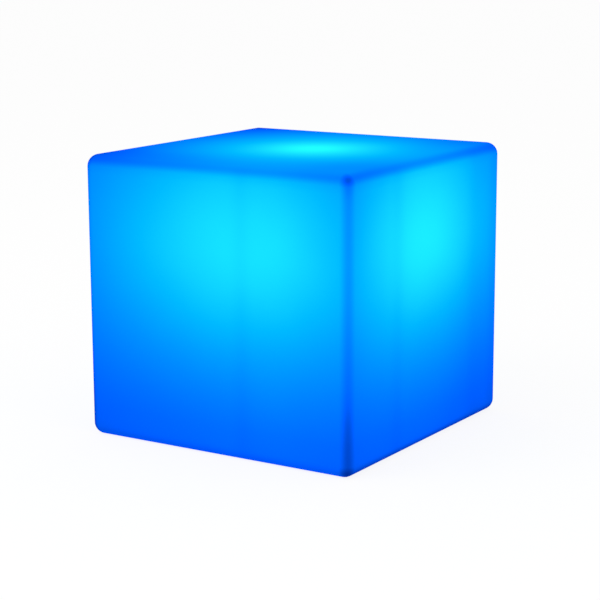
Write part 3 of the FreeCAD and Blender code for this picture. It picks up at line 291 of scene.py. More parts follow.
def milkyShell():
    finish = Finish("milky_shell_lit", gloss=0.0, glowStrength=1.0)
    x, y, z = finish.axes()
    bend = shell["edgeRound"]
    sideways = (x.size() - (shell["halfWidth"] - bend)).atLeast(0.0)
    forwards = (y.size() - (shell["halfDepth"] - bend)).atLeast(0.0)
    upwards = (z - (shell["height"] - bend)).atLeast(0.0)
    downwards = (bend - z).atLeast(0.0)
    whole = (sideways * sideways + forwards * forwards + upwards * upwards
             + downwards * downwards).atLeast(1e-9)
    sideShare = sideways * sideways / whole
    frontShare = forwards * forwards / whole
    topShare = upwards * upwards / whole
    underShare = downwards * downwards / whole

    rise = z - shell["lampLevel"]
    lift = rise.atLeast(0.0)
    drop = rise.atMost(0.0)

    def band(along, stripe):
        middle, halfWidth, strength = stripe
        reach = (along - middle) / halfWidth
        return (reach * reach * -1.0).work("EXPONENT") * strength

    def sideGlow(across, spot):
        upPart = lift / spot["up"]
        downPart = drop / spot["down"]
        off = (across - spot["lean"]) / spot["spread"]
        fade = upPart * upPart + downPart * downPart + off * off + 1.0
        striped = band(across, spot["bands"][0])
        for stripe in spot["bands"][1:]:
            striped = striped + band(across, stripe)
        return (spot["peak"] * (fade * fade) ** -1.0 + spot["least"]) * (striped + 1.0)

    ends = (z.ramp(*shell["footZone"], shell["footGain"], 0.0)
            - z.ramp(*shell["headZone"], 0.0, shell["underTop"]) + 1.0)
    frontGlow = sideGlow(x, frontSpot) * ends
    rightGlow = sideGlow(y, rightSpot) * ends
    offX = x - topSpot["leanX"]
    offY = y - topSpot["leanY"]
    off = offX * offX + offY * offY
    fade = off / topSpot["spread"] ** 2 + 1.0
    wash = (off / -topSpot["washSpread"] ** 2).work("EXPONENT")
    frontCorner = y.ramp(-0.20, -0.11, 1.0, 0.0) * x.ramp(-0.08, 0.12) * topSpot["frontCorner"]
    topGlow = (topSpot["peak"] * (fade * fade) ** -1.0 + topSpot["wash"] * wash + topSpot["least"]
               + band(x, topSpot["rightEdge"]) + band(y, topSpot["frontEdge"])
               + frontCorner).atLeast(topSpot["farCorner"])
    fromMiddle = (x * x + y * y).work("SQRT")
    fromModule = fromMiddle.ramp(*shell["moduleZone"], shell["undersideMiddle"], shell["undersideGlow"])
    underGlow = x.ramp(*shell["endZone"]) * (shell["undersideEnds"] - shell["undersideGlow"]) + fromModule

    outer = sideShare + frontShare + topShare + underShare
    glow = (sideShare * rightGlow + frontShare * frontGlow + topShare * topGlow
            + underShare * underGlow + (1.0 - outer) * shell["recessGlow"])
    upright = (z.ramp(*shell["footShadeZone"], shell["uprightFoot"], 0.0)
               + z.ramp(*shell["headShadeZone"], 0.0, shell["uprightHead"]) + shell["uprightShade"])
    frontTop = ((frontShare - topShare) * shell["frontTopSkew"] + 1.0) * shell["frontTopShade"]
    sideTop = ((sideShare - topShare) * shell["sideTopSkew"] + 1.0) * shell["sideTopShade"]
    heldBack = (sideShare * frontShare * upright + frontShare * topShare * frontTop
                + sideShare * topShare * sideTop + frontShare * underShare * shell["frontFootShade"]
                + sideShare * underShare * shell["sideFootShade"]) * 2.0
    cornered = (sideShare * frontShare * (topShare + underShare) * 27.0).work("SQRT")
    nearSpots = x.ramp(-0.1, 0.1) * y.ramp(-0.1, 0.1, 1.0, 0.0)
    cornerShade = nearSpots * (shell["cornerShade"] - shell["farCornerShade"]) + shell["farCornerShade"]
    glow = glow * (1.0 - heldBack) * (1.0 - cornered * cornerShade)

    # the wall of a spun moulding is never quite even
    patches = finish.cloud(9.0, detail=3.0).ramp(0.25, 0.75, *shell["unevenness"])
    evened = shell["lowShare"] - z * shell["highLoss"]
    green = (glow * patches * evened).atLeast(0.01)
    red = (green - shell["redFrom"]).atLeast(0.0) * shell["redGain"]
    blue = (green * shell["blueGain"] + shell["blueLeast"]).atMost(1.0)
    paintedPart, lit = shell["paintedGlowShare"], shell["lampShare"]
    # the base colour holds a share of the lamp's glow, with its hot spots and darker edges: painted light and
    # painted shade
    finish.set("colour", finish.colourFrom(red * paintedPart, green * paintedPart, blue * paintedPart))
    finish.set("glow", finish.colourFrom(red * lit, green * lit, blue * lit))
    finish.set("rough", finish.cloud(60.0, detail=2.0).ramp(0.3, 0.7, 0.42, 0.52))
    finish.raised(finish.cloud(1400.0, detail=2.0), 0.05, 0.0003)     # fine skin of the mould
    finish.raised(finish.cloud(14.0, detail=1.0), 0.08, 0.0015)       # long, slow waves of the wall
    return finish


dress(milkyShell(), "cube_shell")
print("shell dressed")


# moulded plastics of the light module

mouldings = {
    "white_plastic": {"tone": (0.76, 0.76, 0.74), "shade": (0.72, 0.725, 0.71), "rough": (0.38, 0.50),
                      "skin": 2200.0, "nodes": ("module_housing", "light_mast")},
    "grey_plastic": {"tone": (0.19, 0.20, 0.21), "shade": (0.14, 0.145, 0.15), "rough": (0.42, 0.55),
                     "skin": 1900.0, "nodes": ("battery_cradle",)},
    "cream_nylon": {"tone": (0.76, 0.70, 0.55), "shade": (0.68, 0.61, 0.46), "rough": (0.34, 0.46),
                    "skin": 3600.0,
                    "nodes": ("battery_header", "battery_plug", "light_header", "light_plug")},
    "black_nylon": {"tone": (0.030, 0.031, 0.033), "shade": (0.016, 0.016, 0.017), "rough": (0.36, 0.52),
                    "skin": 3000.0, "nodes": ("charge_socket", "switch_housing")},
    "white_stem": {"tone": (0.66, 0.66, 0.63), "shade": (0.58, 0.58, 0.55), "rough": (0.32, 0.42),
                   "skin": 4200.0, "nodes": ("switch_plunger",)},
}


def moulded(name, look):
    finish = Finish(name, gloss=0.45)
    flow = finish.cloud(38.0, detail=4.0, stretch=(1, 1, 0.35))        # streaks where the melt ran
    finish.set("colour", finish.between(flow.ramp(0.3, 0.7), look["tone"], look["shade"]))
    finish.set("rough", finish.cloud(240.0, detail=3.0).ramp(0.25, 0.75, *look["rough"]))
    skin = finish.cloud(look["skin"], detail=2.0, broken=0.7)
    finish.raised(skin, 0.35, 0.00006)
    finish.raised(finish.cells(look["skin"] * 0.45), 0.12, 0.00005)
    return finish


for mouldedName, mouldedLook in mouldings.items():
    dress(moulded(mouldedName, mouldedLook), *mouldedLook["nodes"])
print("module mouldings dressed")


# base plate, seen when the cube is turned over: marks of its mould, and scuffs where hands go to the button

plate = {"tone": (0.74, 0.74, 0.72), "shade": (0.70, 0.705, 0.69), "scuff": (0.56, 0.56, 0.54),
         "rough": (0.40, 0.52),
         "pinPlaces": ((0.046, 0.014), (-0.018, 0.048), (0.012, -0.052), (-0.049, -0.016)),
         "pinRadius": 0.0030, "pinLine": 0.00016, "gateRadius": 0.0016, "ringEvery": 1500.0}


def plateMoulding():
    finish = Finish("plate_moulding", gloss=0.45)
    x, y = finish.axes()[:2]
    marks = None
    # round ends of the pins that push it out of its mould
    for placeX, placeY in plate["pinPlaces"]:
        offX, offY = x - placeX, y - placeY
        reach = (offX * offX + offY * offY).work("SQRT")
        mark = (reach - plate["pinRadius"]).size().below(plate["pinLine"])
        marks = mark if marks is None else marks.atLeast(mark)
    reach = (x * x + y * y).work("SQRT")
    gate = reach.below(plate["gateRadius"])
    grain = finish.cloud(30.0, detail=4.0)
    plain = finish.between(grain.ramp(0.3, 0.7), plate["tone"], plate["shade"])
    scratched = finish.cloud(420.0, detail=6.0, broken=0.72, stretch=(0.12, 1.0, 1.0)).above(0.66)
    handled = finish.cloud(48.0, detail=2.0).ramp(0.50, 0.72)
    scuffs = scratched * handled * 0.45
    finish.set("colour", finish.between((scuffs + marks * 0.25).atMost(1.0), plain, plate["scuff"]))
    finish.set("rough", (finish.cloud(240.0) + scuffs * 0.3).ramp(0.25, 0.85, *plate["rough"]))
    finish.raised(1.0 - marks, 0.7, 0.00012)
    finish.raised(finish.cloud(1400.0, detail=3.0) * (1.0 - gate) + gate, 0.5, 0.00007)
    finish.raised((reach * plate["ringEvery"]).work("SINE"), 0.06, 0.00002)      # turning rings of the mould
    return finish


dress(plateMoulding(), "base_plate")
print("base plate dressed")


# rubber and silicone

rubbers = {
    "white_silicone": {"tone": (0.68, 0.69, 0.69), "dust": (0.62, 0.62, 0.60), "rough": (0.50, 0.66),
                       "sheen": 0.25, "deep": 0.15,
                       "nodes": ("base_gasket", "housing_seal_ring", "mast_seal_ring", "cover_seal_ring",
                                 "lead_grommet")},
    "black_rubber": {"tone": (0.018, 0.018, 0.019), "dust": (0.060, 0.058, 0.055), "rough": (0.55, 0.75),
                     "sheen": 0.35, "deep": 0.0,
                     "nodes": ("button_seal_ring", "socket_seal_ring", "socket_cap", "cap_anchor")},
}


def rubbery(name, look):
    finish = Finish(name, gloss=0.35, sheen=look["sheen"], sheenRough=0.45)
    if look["deep"]:
        finish.set("deep", look["deep"])
        finish.set("deepScale", 0.001)
    bloom = finish.cloud(160.0, detail=5.0, broken=0.65)
    finish.set("colour", finish.between(bloom.ramp(0.48, 0.78, 0.0, 0.55), look["tone"], look["dust"]))
    finish.set("rough", finish.cloud(420.0).ramp(0.3, 0.7, *look["rough"]))
    finish.raised(finish.cloud(5200.0, detail=2.0), 0.4, 0.00003)
    finish.raised(finish.cloud(700.0, detail=1.0), 0.15, 0.00008)
    return finish


for rubberName, rubberLook in rubbers.items():
    dress(rubbery(rubberName, rubberLook), *rubberLook["nodes"])
print("rubber and silicone dressed")


# metals; each has its own marks from how it was made

metals = {
    "turned_brass": {"tone": (0.76, 0.53, 0.20), "dull": (0.52, 0.33, 0.12), "rough": (0.22, 0.40),
                     "marks": 3200.0, "along": "Z", "stretch": (1, 1, 1),
                     "nodes": ("thread_inserts", "socket_pin", "socket_contact")},
    "rolled_aluminium": {"tone": (0.80, 0.81, 0.82), "dull": (0.62, 0.63, 0.65), "rough": (0.26, 0.42),
                         "marks": 900.0, "along": "X", "stretch": (1, 0.04, 1), "nodes": ("heat_spreader",)},
    "tinned_copper": {"tone": (0.80, 0.79, 0.77), "dull": (0.60, 0.59, 0.58), "rough": (0.28, 0.46),
                      "marks": 2600.0, "along": "Z", "stretch": (1, 1, 1),
                      "nodes": ("receiver_legs", "chip_legs", "switch_pins")},
    "plated_can": {"tone": (0.70, 0.70, 0.69), "dull": (0.62, 0.62, 0.62), "rough": (0.24, 0.36),
                   "marks": 900.0, "along": "X", "stretch": (1, 1, 0.03), "nodes": ("battery_cells",)},
    "nickel_strip": {"tone": (0.74, 0.71, 0.65), "dull": (0.58, 0.55, 0.50), "rough": (0.20, 0.36),
                     "marks": 1400.0, "along": "Y", "stretch": (1, 1, 1), "nodes": ("battery_tabs",)},
    "plated_nut": {"tone": (0.76, 0.75, 0.72), "dull": (0.60, 0.58, 0.55), "rough": (0.16, 0.30),
                   "marks": 2200.0, "along": "Z", "stretch": (1, 1, 1), "nodes": ("socket_nut",)},
}


def metallic(name, look):
    finish = Finish(name, metal=1.0)
    stain = finish.cloud(900.0, detail=5.0, broken=0.6)
    finish.set("colour", finish.between(stain.ramp(0.42, 0.80, 0.0, 0.45), look["tone"], look["dull"]))
    marks = finish.lines(look["marks"], look["along"], wander=1.5, stretch=look["stretch"])
    scratches = finish.cloud(900.0, detail=6.0, broken=0.75, stretch=(1, 6, 1))
    finish.set("rough", (marks * 0.35 + scratches * 0.65).ramp(0.25, 0.75, *look["rough"]))
    finish.raised(marks, 0.10, 0.00002)
    finish.raised(scratches, 0.12, 0.00002)
    return finish


for metalName, metalLook in metals.items():
    dress(metallic(metalName, metalLook), *metalLook["nodes"])
print("metals dressed")


# circuit boards: lacquer over copper tracks, with tinned holes

boards = {
    "green_board": {"lacquer": (0.010, 0.125, 0.045), "overCopper": (0.030, 0.215, 0.080), "track": 520.0,
                    "nodes": ("control_board", "protection_board")},
    "white_board": {"lacquer": (0.78, 0.78, 0.75), "overCopper": (0.86, 0.86, 0.84), "track": 360.0,
                    "nodes": ("light_board",)},
}
tinnedHole = (0.75, 0.74, 0.70)


def lacquered(name, look):
    finish = Finish(name, gloss=0.55, coat=0.35, coatRough=0.22)
    field = finish.cloud(75.0, detail=0.0)
    across = finish.lines(look["track"], "X").above(0.62)
    along = finish.lines(look["track"], "Y").above(0.62)
    turned = field.above(0.5)
    tracks = across * turned + along * (1.0 - turned)
    gaps = finish.cloud(210.0, detail=0.0).above(0.47)
    copper = tracks * gaps
    painted = finish.between(copper, look["lacquer"], look["overCopper"])
    holes = finish.cells(230.0).below(0.10)
    finish.set("colour", finish.between(holes, painted, tinnedHole))
    finish.set("metal", holes)
    finish.set("rough", finish.cloud(600.0).ramp(0.3, 0.7, 0.24, 0.40))
    finish.raised(copper, 0.35, 0.00003)
    finish.raised(finish.cloud(4000.0), 0.08, 0.00002)                # weave of the board below
    return finish


for boardName, boardLook in boards.items():
    dress(lacquered(boardName, boardLook), *boardLook["nodes"])
print("boards dressed")


# parts on the boards

epoxy = {"tone": (0.022, 0.022, 0.023), "pale": (0.040, 0.040, 0.041), "skin": 5200.0,
         "dimple": 0.0004, "dimpleIn": 0.0009}


def epoxyBlack():
    finish = Finish("moulded_epoxy", gloss=0.4)
    worn = finish.cloud(900.0, detail=4.0).ramp(0.35, 0.7)
    finish.set("colour", finish.between(worn, epoxy["tone"], epoxy["pale"]))
    finish.set("rough", finish.cloud(1800.0).ramp(0.3, 0.7, 0.48, 0.66))
    finish.raised(finish.cloud(epoxy["skin"], detail=3.0, broken=0.7), 0.4, 0.00003)
    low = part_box("controller_chip")[0]
    x, y = finish.axes()[:2]
    offX, offY = x - (low.x + epoxy["dimpleIn"]), y - (low.y + epoxy["dimpleIn"])
    dimple = (offX * offX + offY * offY).work("SQRT").ramp(epoxy["dimple"] * 0.7, epoxy["dimple"])
    finish.raised(dimple, 0.8, 0.0002)                                 # marks the first leg
    return finish


coil = {"ferrite": (0.050, 0.048, 0.047), "chip": (0.110, 0.105, 0.100)}


def ferrite():
    finish = Finish("sintered_ferrite", gloss=0.3)
    finish.set("colour", finish.between(finish.cells(1600.0).ramp(0.1, 0.6), coil["ferrite"], coil["chip"]))
    finish.set("rough", finish.cloud(1500.0).ramp(0.3, 0.7, 0.55, 0.75))
    finish.raised(finish.cells(2600.0), 0.3, 0.00004)
    return finish


capacitor = {"sleeve": (0.030, 0.035, 0.055), "stripe": (0.62, 0.62, 0.60), "top": (0.74, 0.74, 0.73)}


def capacitorCan():
    finish = Finish("capacitor_can", gloss=0.5)
    low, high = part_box("storage_capacitor")
    middle = (low + high) / 2
    x, y, z = finish.axes()
    offX = x - middle.x
    offY = y - middle.y
    radius = (offX * offX + offY * offY).work("SQRT")
    onTop = (z.above(high.z - 0.0002)) * radius.below((high.x - low.x) / 2 * 0.86)
    stripe = offX.above((high.x - low.x) * 0.33)                       # marks the minus side
    crimp = z.above(low.z + 0.0011) * z.below(low.z + 0.0016)
    wrapped = finish.between(stripe, capacitor["sleeve"], capacitor["stripe"])
    finish.set("colour", finish.between(onTop, wrapped, capacitor["top"]))
    finish.set("metal", onTop)
    finish.set("rough", finish.cloud(700.0).ramp(0.3, 0.7, 0.22, 0.38))
    scored = (offX.size().below(0.00018) + offY.size().below(0.00018)).atMost(1.0) * onTop
    finish.raised(1.0 - scored, 0.8, 0.0002)                           # cross on the vent
    finish.raised(1.0 - crimp, 0.6, 0.0003)
    finish.raised(finish.cloud(1800.0), 0.08, 0.00003)
    return finish


dress(epoxyBlack(), "controller_chip", "driver_transistors")
dress(ferrite(), "power_coil")
dress(capacitorCan(), "storage_capacitor")

lights = {"package": (0.84, 0.84, 0.80), "edge": (0.72, 0.70, 0.62), "lens": (0.03, 0.20, 0.60),
          "lensDeep": (0.01, 0.10, 0.45), "glowDot": (0.12, 0.70, 1.00), "glowRim": (0.00, 0.30, 1.00),
          "lensStrength": 1.0, "resin": (0.016, 0.008, 0.022), "resinPale": (0.030, 0.012, 0.036)}


def lightPackage():
    finish = Finish("light_package", gloss=0.5)
    aged = finish.cloud(700.0).ramp(0.4, 0.7)
    finish.set("colour", finish.between(aged, lights["package"], lights["edge"]))
    finish.set("rough", finish.cloud(1500.0).ramp(0.3, 0.7, 0.30, 0.42))
    finish.raised(finish.cloud(5000.0), 0.2, 0.00002)
    return finish


def litLens():
    finish = Finish("lit_lens", gloss=0.5, coat=0.5, coatRough=0.08, glowStrength=lights["lensStrength"])
    dots = finish.cloud(600.0, detail=1.0).ramp(0.35, 0.62)            # brighter over a dot of light
    finish.set("colour", finish.between(dots, lights["lens"], lights["lensDeep"]))
    finish.set("glow", finish.between(dots, lights["glowDot"], lights["glowRim"]))
    finish.set("rough", finish.cloud(1200.0).ramp(0.3, 0.7, 0.10, 0.20))
    finish.raised(finish.cloud(1600.0), 0.05, 0.00003)
    return finish


def darkResin():
    finish = Finish("dark_resin", gloss=0.5, coat=0.4, coatRough=0.12)
    finish.set("colour", finish.between(finish.cloud(500.0).ramp(0.3, 0.7), lights["resin"],
                                        lights["resinPale"]))
    finish.set("rough", finish.cloud(1300.0).ramp(0.3, 0.7, 0.14, 0.26))
    finish.raised(finish.cloud(1500.0), 0.06, 0.00003)
    return finish


dress(lightPackage(), "light_chips")
dress(litLens(), "light_lenses", "status_light")
dress(darkResin(), "remote_receiver")
print("board parts dressed")


# light cover and light pipe

# the blue of the cover's tone and shade is painted light from the lamps under it
cover = {"tone": (0.20, 0.40, 0.62), "shade": (0.16, 0.34, 0.56), "glowTop": (0.02, 0.42, 1.00),
         "glowFoot": (0.00, 0.16, 0.75), "glowStrength": 0.65}


def opalCover():
    finish = Finish("opal_cover", gloss=0.5, deep=0.3, deepScale=0.004, glowStrength=cover["glowStrength"])
    low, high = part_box("light_cover")
    z = finish.axes()[2]
    climb = z.ramp(low.z + 0.003, high.z)
    # painted light: the base colour is tinted blue by the lamp inside
    finish.set("colour", finish.between(finish.cloud(60.0).ramp(0.3, 0.7), cover["tone"], cover["shade"]))
    finish.set("glow", finish.between(climb, cover["glowFoot"], cover["glowTop"]))
    finish.set("rough", finish.cloud(300.0).ramp(0.3, 0.7, 0.26, 0.38))
    finish.raised(finish.cloud(2400.0), 0.12, 0.00003)
    return finish


pipe = {"tone": (0.86, 0.93, 1.00), "tint": (0.70, 0.85, 1.00), "glow": (0.02, 0.30, 0.85),
        "glowBright": (0.05, 0.45, 1.00), "glowStrength": 0.5}


def clearPipe():
    finish = Finish("clear_pipe", clear=0.85, bend=1.49, gloss=0.5, glowStrength=pipe["glowStrength"])
    finish.set("colour", finish.between(finish.cloud(500.0).ramp(0.3, 0.7), pipe["tone"], pipe["tint"]))
    carried = finish.cloud(500.0, detail=1.0).ramp(0.3, 0.7)
    finish.set("glow", finish.between(carried, pipe["glow"], pipe["glowBright"]))
    finish.set("rough", finish.cloud(900.0).ramp(0.3, 0.7, 0.05, 0.14))
    finish.raised(finish.cloud(1800.0), 0.05, 0.00003)
    return finish


dress(opalCover(), "light_cover")
dress(clearPipe(), "light_pipe")
print("cover and light pipe dressed")


# battery sleeve: shrunk film with creases near its ends

sleeve = {"tone": (0.012, 0.060, 0.240), "worn": (0.030, 0.100, 0.320), "creaseHeight": 0.007}


def shrunkFilm():
    finish = Finish("shrunk_film", gloss=0.5, coat=0.3, coatRough=0.2)
    low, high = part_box("battery_sleeve")
    z = finish.axes()[2]
    half = (high.z - low.z) / 2
    nearEnd = (z - (low.z + high.z) / 2).size().ramp(half - sleeve["creaseHeight"], half)
    rubbed = finish.cloud(90.0, detail=5.0).ramp(0.4, 0.75)
    finish.set("colour", finish.between(rubbed, sleeve["tone"], sleeve["worn"]))
    finish.set("rough", finish.cloud(500.0).ramp(0.3, 0.7, 0.22, 0.36))
    creases = finish.cloud(420.0, detail=2.0, stretch=(1, 1, 0.15))
    finish.raised(creases * nearEnd, 0.9, 0.0005)
    finish.raised(finish.cloud(160.0, detail=2.0), 0.25, 0.0003)
    return finish


dress(shrunkFilm(), "battery_sleeve")
print("battery sleeve dressed")


# leads: drawn insulation, a little uneven, with scuffs

leads = {
    "red_lead": {"tone": (0.50, 0.012, 0.010), "scuffed": (0.60, 0.06, 0.05),
                 "nodes": ("battery_lead_red", "charge_lead_red")},
    "black_lead": {"tone": (0.015, 0.015, 0.016), "scuffed": (0.06, 0.06, 0.06),
                   "nodes": ("battery_lead_black", "charge_lead_black")},
    "white_lead": {"tone": (0.74, 0.74, 0.71), "scuffed": (0.58, 0.57, 0.53), "nodes": ("light_leads",)},
}


def insulated(name, look):
    finish = Finish(name, gloss=0.5)
    scuffs = finish.cloud(900.0, detail=5.0).ramp(0.5, 0.85, 0.0, 0.5)
    finish.set("colour", finish.between(scuffs, look["tone"], look["scuffed"]))
    finish.set("rough", finish.cloud(900.0).ramp(0.3, 0.7, 0.30, 0.46))
    finish.raised(finish.cloud(1500.0, detail=2.0, stretch=(1, 1, 0.2)), 0.15, 0.00004)
    return finish


for leadName, leadLook in leads.items():
    dress(insulated(leadName, leadLook), *leadLook["nodes"])
print("leads dressed")


# power button: dark key cap with a printed on-off sign in its dish, given a faint blue painted glow

button = {
    "tone": (0.030, 0.032, 0.035), "worn": (0.060, 0.062, 0.066),
    "sign": (0.70, 0.84, 0.95), "signPaintedGlow": (0.02, 0.10, 0.22),
    "signRadius": 0.0021, "signLine": 0.00030, "signGap": 0.0009, "barLow": 0.0004, "barHigh": 0.0030,
}


def keyCap():
    finish = Finish("key_cap", gloss=0.5, coat=0.15, coatRough=0.3, glowStrength=1.0)
    low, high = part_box("power_button")
    middle = (low + high) / 2
    x, y, z = finish.axes()
    across = x - middle.x
    ahead = middle.y - y                                               # the sign is upright from the front
    radius = (across * across + ahead * ahead).work("SQRT")
    onFace = z.below(low.z + 0.0009)
    circle = (radius - button["signRadius"]).size().below(button["signLine"])
    gap = across.size().below(button["signGap"]) * ahead.above(0.0)
    inBar = ahead.above(button["barLow"]) * ahead.below(button["barHigh"])
    bar = across.size().below(button["signLine"]) * inBar
    sign = (circle * (1.0 - gap) + bar).atMost(1.0) * onFace
    plain = finish.between(finish.cloud(260.0, detail=4.0).ramp(0.4, 0.75), button["tone"], button["worn"])
    finish.set("colour", finish.between(sign, plain, button["sign"]))
    # painted glow: the printed sign gives off a faint blue light
    finish.set("glow", finish.between(sign, (0.0, 0.0, 0.0), button["signPaintedGlow"]))
    finish.set("rough", finish.cloud(800.0).ramp(0.3, 0.7, 0.30, 0.44))
    finish.raised(finish.cloud(3600.0, detail=2.0), 0.25, 0.00003)
    finish.raised(1.0 - sign, 0.35, 0.00005)
    return finish


dress(keyCap(), "power_button")
print("button dressed")


# return spring of the button, with flattened end turns, built at its rest length

spring = {"turns": 3.25, "wire": 0.0002, "flat": 0.35, "steps": 180, "sides": 10, "travel": 0.0015,
          "tone": (0.62, 0.63, 0.65), "dull": (0.46, 0.47, 0.50), "rough": (0.20, 0.36), "marks": 5200.0,
          "along": "Z", "stretch": (1, 1, 1)}


def joinRings(build, lower, upper):
    count = len(lower)
    for index in range(count):
        build.faces.new((lower[index], lower[(index + 1) % count], upper[(index + 1) % count], upper[index]))


def makeSpring():
    low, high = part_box("switch_spring")
    middle = (low + high) / 2
    wire = spring["wire"]
    radius = (high.x - low.x) / 2 - wire
    climb = high.z - low.z - 2 * wire

    def onLine(share):
        angle = 2 * math.pi * spring["turns"] * share
        raised = share + spring["flat"] * -math.sin(2 * math.pi * share) / (2 * math.pi)
        return Vector((middle.x + radius * math.cos(angle), middle.y + radius * math.sin(angle),
                       low.z + wire + climb * raised))

    build = bmesh.new()
    previous = None
    for step in range(spring["steps"] + 1):
        share = step / spring["steps"]
        here = onLine(share)
        ahead = (onLine(min(1.0, share + 0.002)) - onLine(max(0.0, share - 0.002))).normalized()
        outward = Vector((here.x - middle.x, here.y - middle.y, 0.0)).normalized()
        upward = ahead.cross(outward).normalized()
        ring = []
        for index in range(spring["sides"]):
            angle = 2 * math.pi * index / spring["sides"]
            ring.append(build.verts.new(here + (outward * math.cos(angle) + upward * math.sin(angle)) * wire))
        if previous:
            joinRings(build, previous, ring)
        else:
            build.faces.new(ring)
        previous = ring
    build.faces.new(previous)
    bmesh.ops.recalc_face_normals(build, faces=build.faces)
    piece = pieceFrom(build, "return_spring", metallic("spring_wire", spring))
    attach(piece, "cube")
    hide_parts("switch_spring")
    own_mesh(piece)


makeSpring()
print("return spring made")


# foam pad between the battery and the housing's deck

pad = {"cells": 22, "rise": 0.0004, "round": 0.0012, "longEdge": 0.003, "tone": (0.034, 0.034, 0.036),
       "pale": (0.070, 0.070, 0.072)}


def foamRubber():
    finish = Finish("closed_cell_foam", gloss=0.2, sheen=0.3)
    bubbles = finish.cells(1500.0)
    finish.set("colour", finish.between(bubbles.ramp(0.1, 0.6), pad["tone"], pad["pale"]))
    finish.set("rough", finish.cloud(900.0).ramp(0.3, 0.7, 0.75, 0.92))
    finish.raised(bubbles, 0.7, 0.0002)
    return finish


def makePad():
    low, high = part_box("battery_pad")
    size = high - low
    grid = bmesh.new()
    bmesh.ops.create_cube(grid, size=1.0)
    for point in grid.verts:
        point.co = Vector((point.co.x * (size.x - 2 * pad["rise"]), point.co.y * (size.y - 2 * pad["rise"]),
                           point.co.z * size.z)) + (low + high) / 2
    bmesh.ops.bevel(grid, geom=list(grid.edges), offset=pad["round"], segments=4, profile=0.5, affect="EDGES")
    longEdges = [edge for edge in grid.edges if edge.calc_length() > pad["longEdge"]]
    bmesh.ops.subdivide_edges(grid, edges=longEdges, cuts=pad["cells"], use_grid_fill=True)
    middle = (low + high) / 2
    # the sides swell a little where it is pressed
    for point in grid.verts:
        level = 1.0 - ((point.co.z - middle.z) / (size.z / 2)) ** 2
        side = Vector((point.co.x - middle.x, point.co.y - middle.y, 0.0))
        point.co.x += math.copysign(pad["rise"] * level, side.x) * (abs(side.x) / (size.x / 2)) ** 8
        point.co.y += math.copysign(pad["rise"] * level, side.y) * (abs(side.y) / (size.y / 2)) ** 8
    piece = pieceFrom(grid, "battery_foam", foamRubber())
    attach(piece, "cube")
    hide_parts("battery_pad")


makePad()
print("foam pad made")


# thin web of rubber at the bend of the socket cap's strap; its end turns inside the strap's round end

web = {"start": -0.0300, "end": -0.0278, "middle": 0.0020, "width": 0.0046, "level": 0.0092, "thick": 0.0006,
       "round": 0.00018, "waist": 0.10}


def makeWeb():
    build = bmesh.new()
    bmesh.ops.create_cube(build, size=1.0)
    length = web["end"] - web["start"]
    for point in build.verts:
        point.co = Vector(((web["start"] + web["end"]) / 2 + point.co.x * length,
                           web["middle"] + point.co.y * web["width"],
                           web["level"] + point.co.z * web["thick"]))
    bmesh.ops.bevel(build, geom=list(build.edges), offset=web["round"], segments=3, profile=0.5,
                    affect="EDGES")
    across = [edge for edge in build.edges if edge.calc_length() > web["width"] * 0.8]
    bmesh.ops.subdivide_edges(build, edges=across, cuts=8, use_grid_fill=True)
    # waisted where it bends
    for point in build.verts:
        waist = 1.0 - web["waist"] * math.sin(math.pi * (point.co.x - web["start"]) / length)
        point.co.y = web["middle"] + (point.co.y - web["middle"]) * waist
    piece = pieceFrom(build, "strap_web", rubbery("web_rubber", rubbers["black_rubber"]))
    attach(piece, "cube")


makeWeb()
print("strap web made")


# screws: pan heads with a cross recess and a real thread, one piece for each node of them

screws = {
    "base_screws": {"pitch": 0.0007, "sides": 20},
    "housing_screws": {"pitch": 0.0006, "sides": 20},
    "mast_screws": {"pitch": 0.0006, "sides": 16},
    "cover_screws": {"pitch": 0.0006, "sides": 16},
    "light_board_screws": {"pitch": 0.0005, "sides": 16},
    "control_board_screws": {"pitch": 0.0005, "sides": 16},
}
screwHead = {
    "profile": ((1.0, 0.0), (1.0, 0.30), (0.97, 0.52), (0.88, 0.76), (0.74, 0.93), (0.66, 0.985)),  # out, up
    "recess": 0.52,            # reach of the cross, as a share of the head's radius
    "arm": 0.13,               # half width of its arms
    "recessFoot": 0.55,        # the same at the recess's floor
    "armFoot": 0.07,
    "recessDepth": 0.62,       # share of the head's height
}
screwThread = {"rowsPerTurn": 6, "depth": 0.17, "fadeTurns": 1.5, "tipFrom": 0.9, "tipTaper": 0.45}
screwMetal = {"tone": (0.68, 0.68, 0.67), "dull": (0.50, 0.50, 0.50), "rough": (0.22, 0.38)}


def stainless():
    finish = Finish("stainless", metal=1.0)
    stain = finish.cloud(1600.0, detail=5.0, broken=0.6)
    share = stain.ramp(0.42, 0.80, 0.0, 0.5)
    finish.set("colour", finish.between(share, screwMetal["tone"], screwMetal["dull"]))
    pressed = finish.cloud(2400.0, detail=4.0, broken=0.6)
    finish.set("rough", pressed.ramp(0.3, 0.7, *screwMetal["rough"]))
    finish.raised(pressed, 0.06, 0.00002)
    return finish


def looseParts(mesh):
    # the separate solids in one mesh, as lists of points
    near = {index: [] for index in range(len(mesh.vertices))}
    for edge in mesh.edges:
        first, second = edge.vertices
        near[first].append(second)
        near[second].append(first)
    welded = {}
    for point in mesh.vertices:
        key = tuple(round(part, 6) for part in point.co)
        if key in welded:
            near[point.index].append(welded[key])
            near[welded[key]].append(point.index)
        welded[key] = point.index
    seen = set()
    groups = []
    for start in near:
        if start in seen:
            continue
        seen.add(start)
        group, waiting = [], [start]
        while waiting:
            here = waiting.pop()
            group.append(mesh.vertices[here].co.copy())
            for other in near[here]:
                if other not in seen:
                    seen.add(other)
                    waiting.append(other)
        groups.append(group)
    return groups


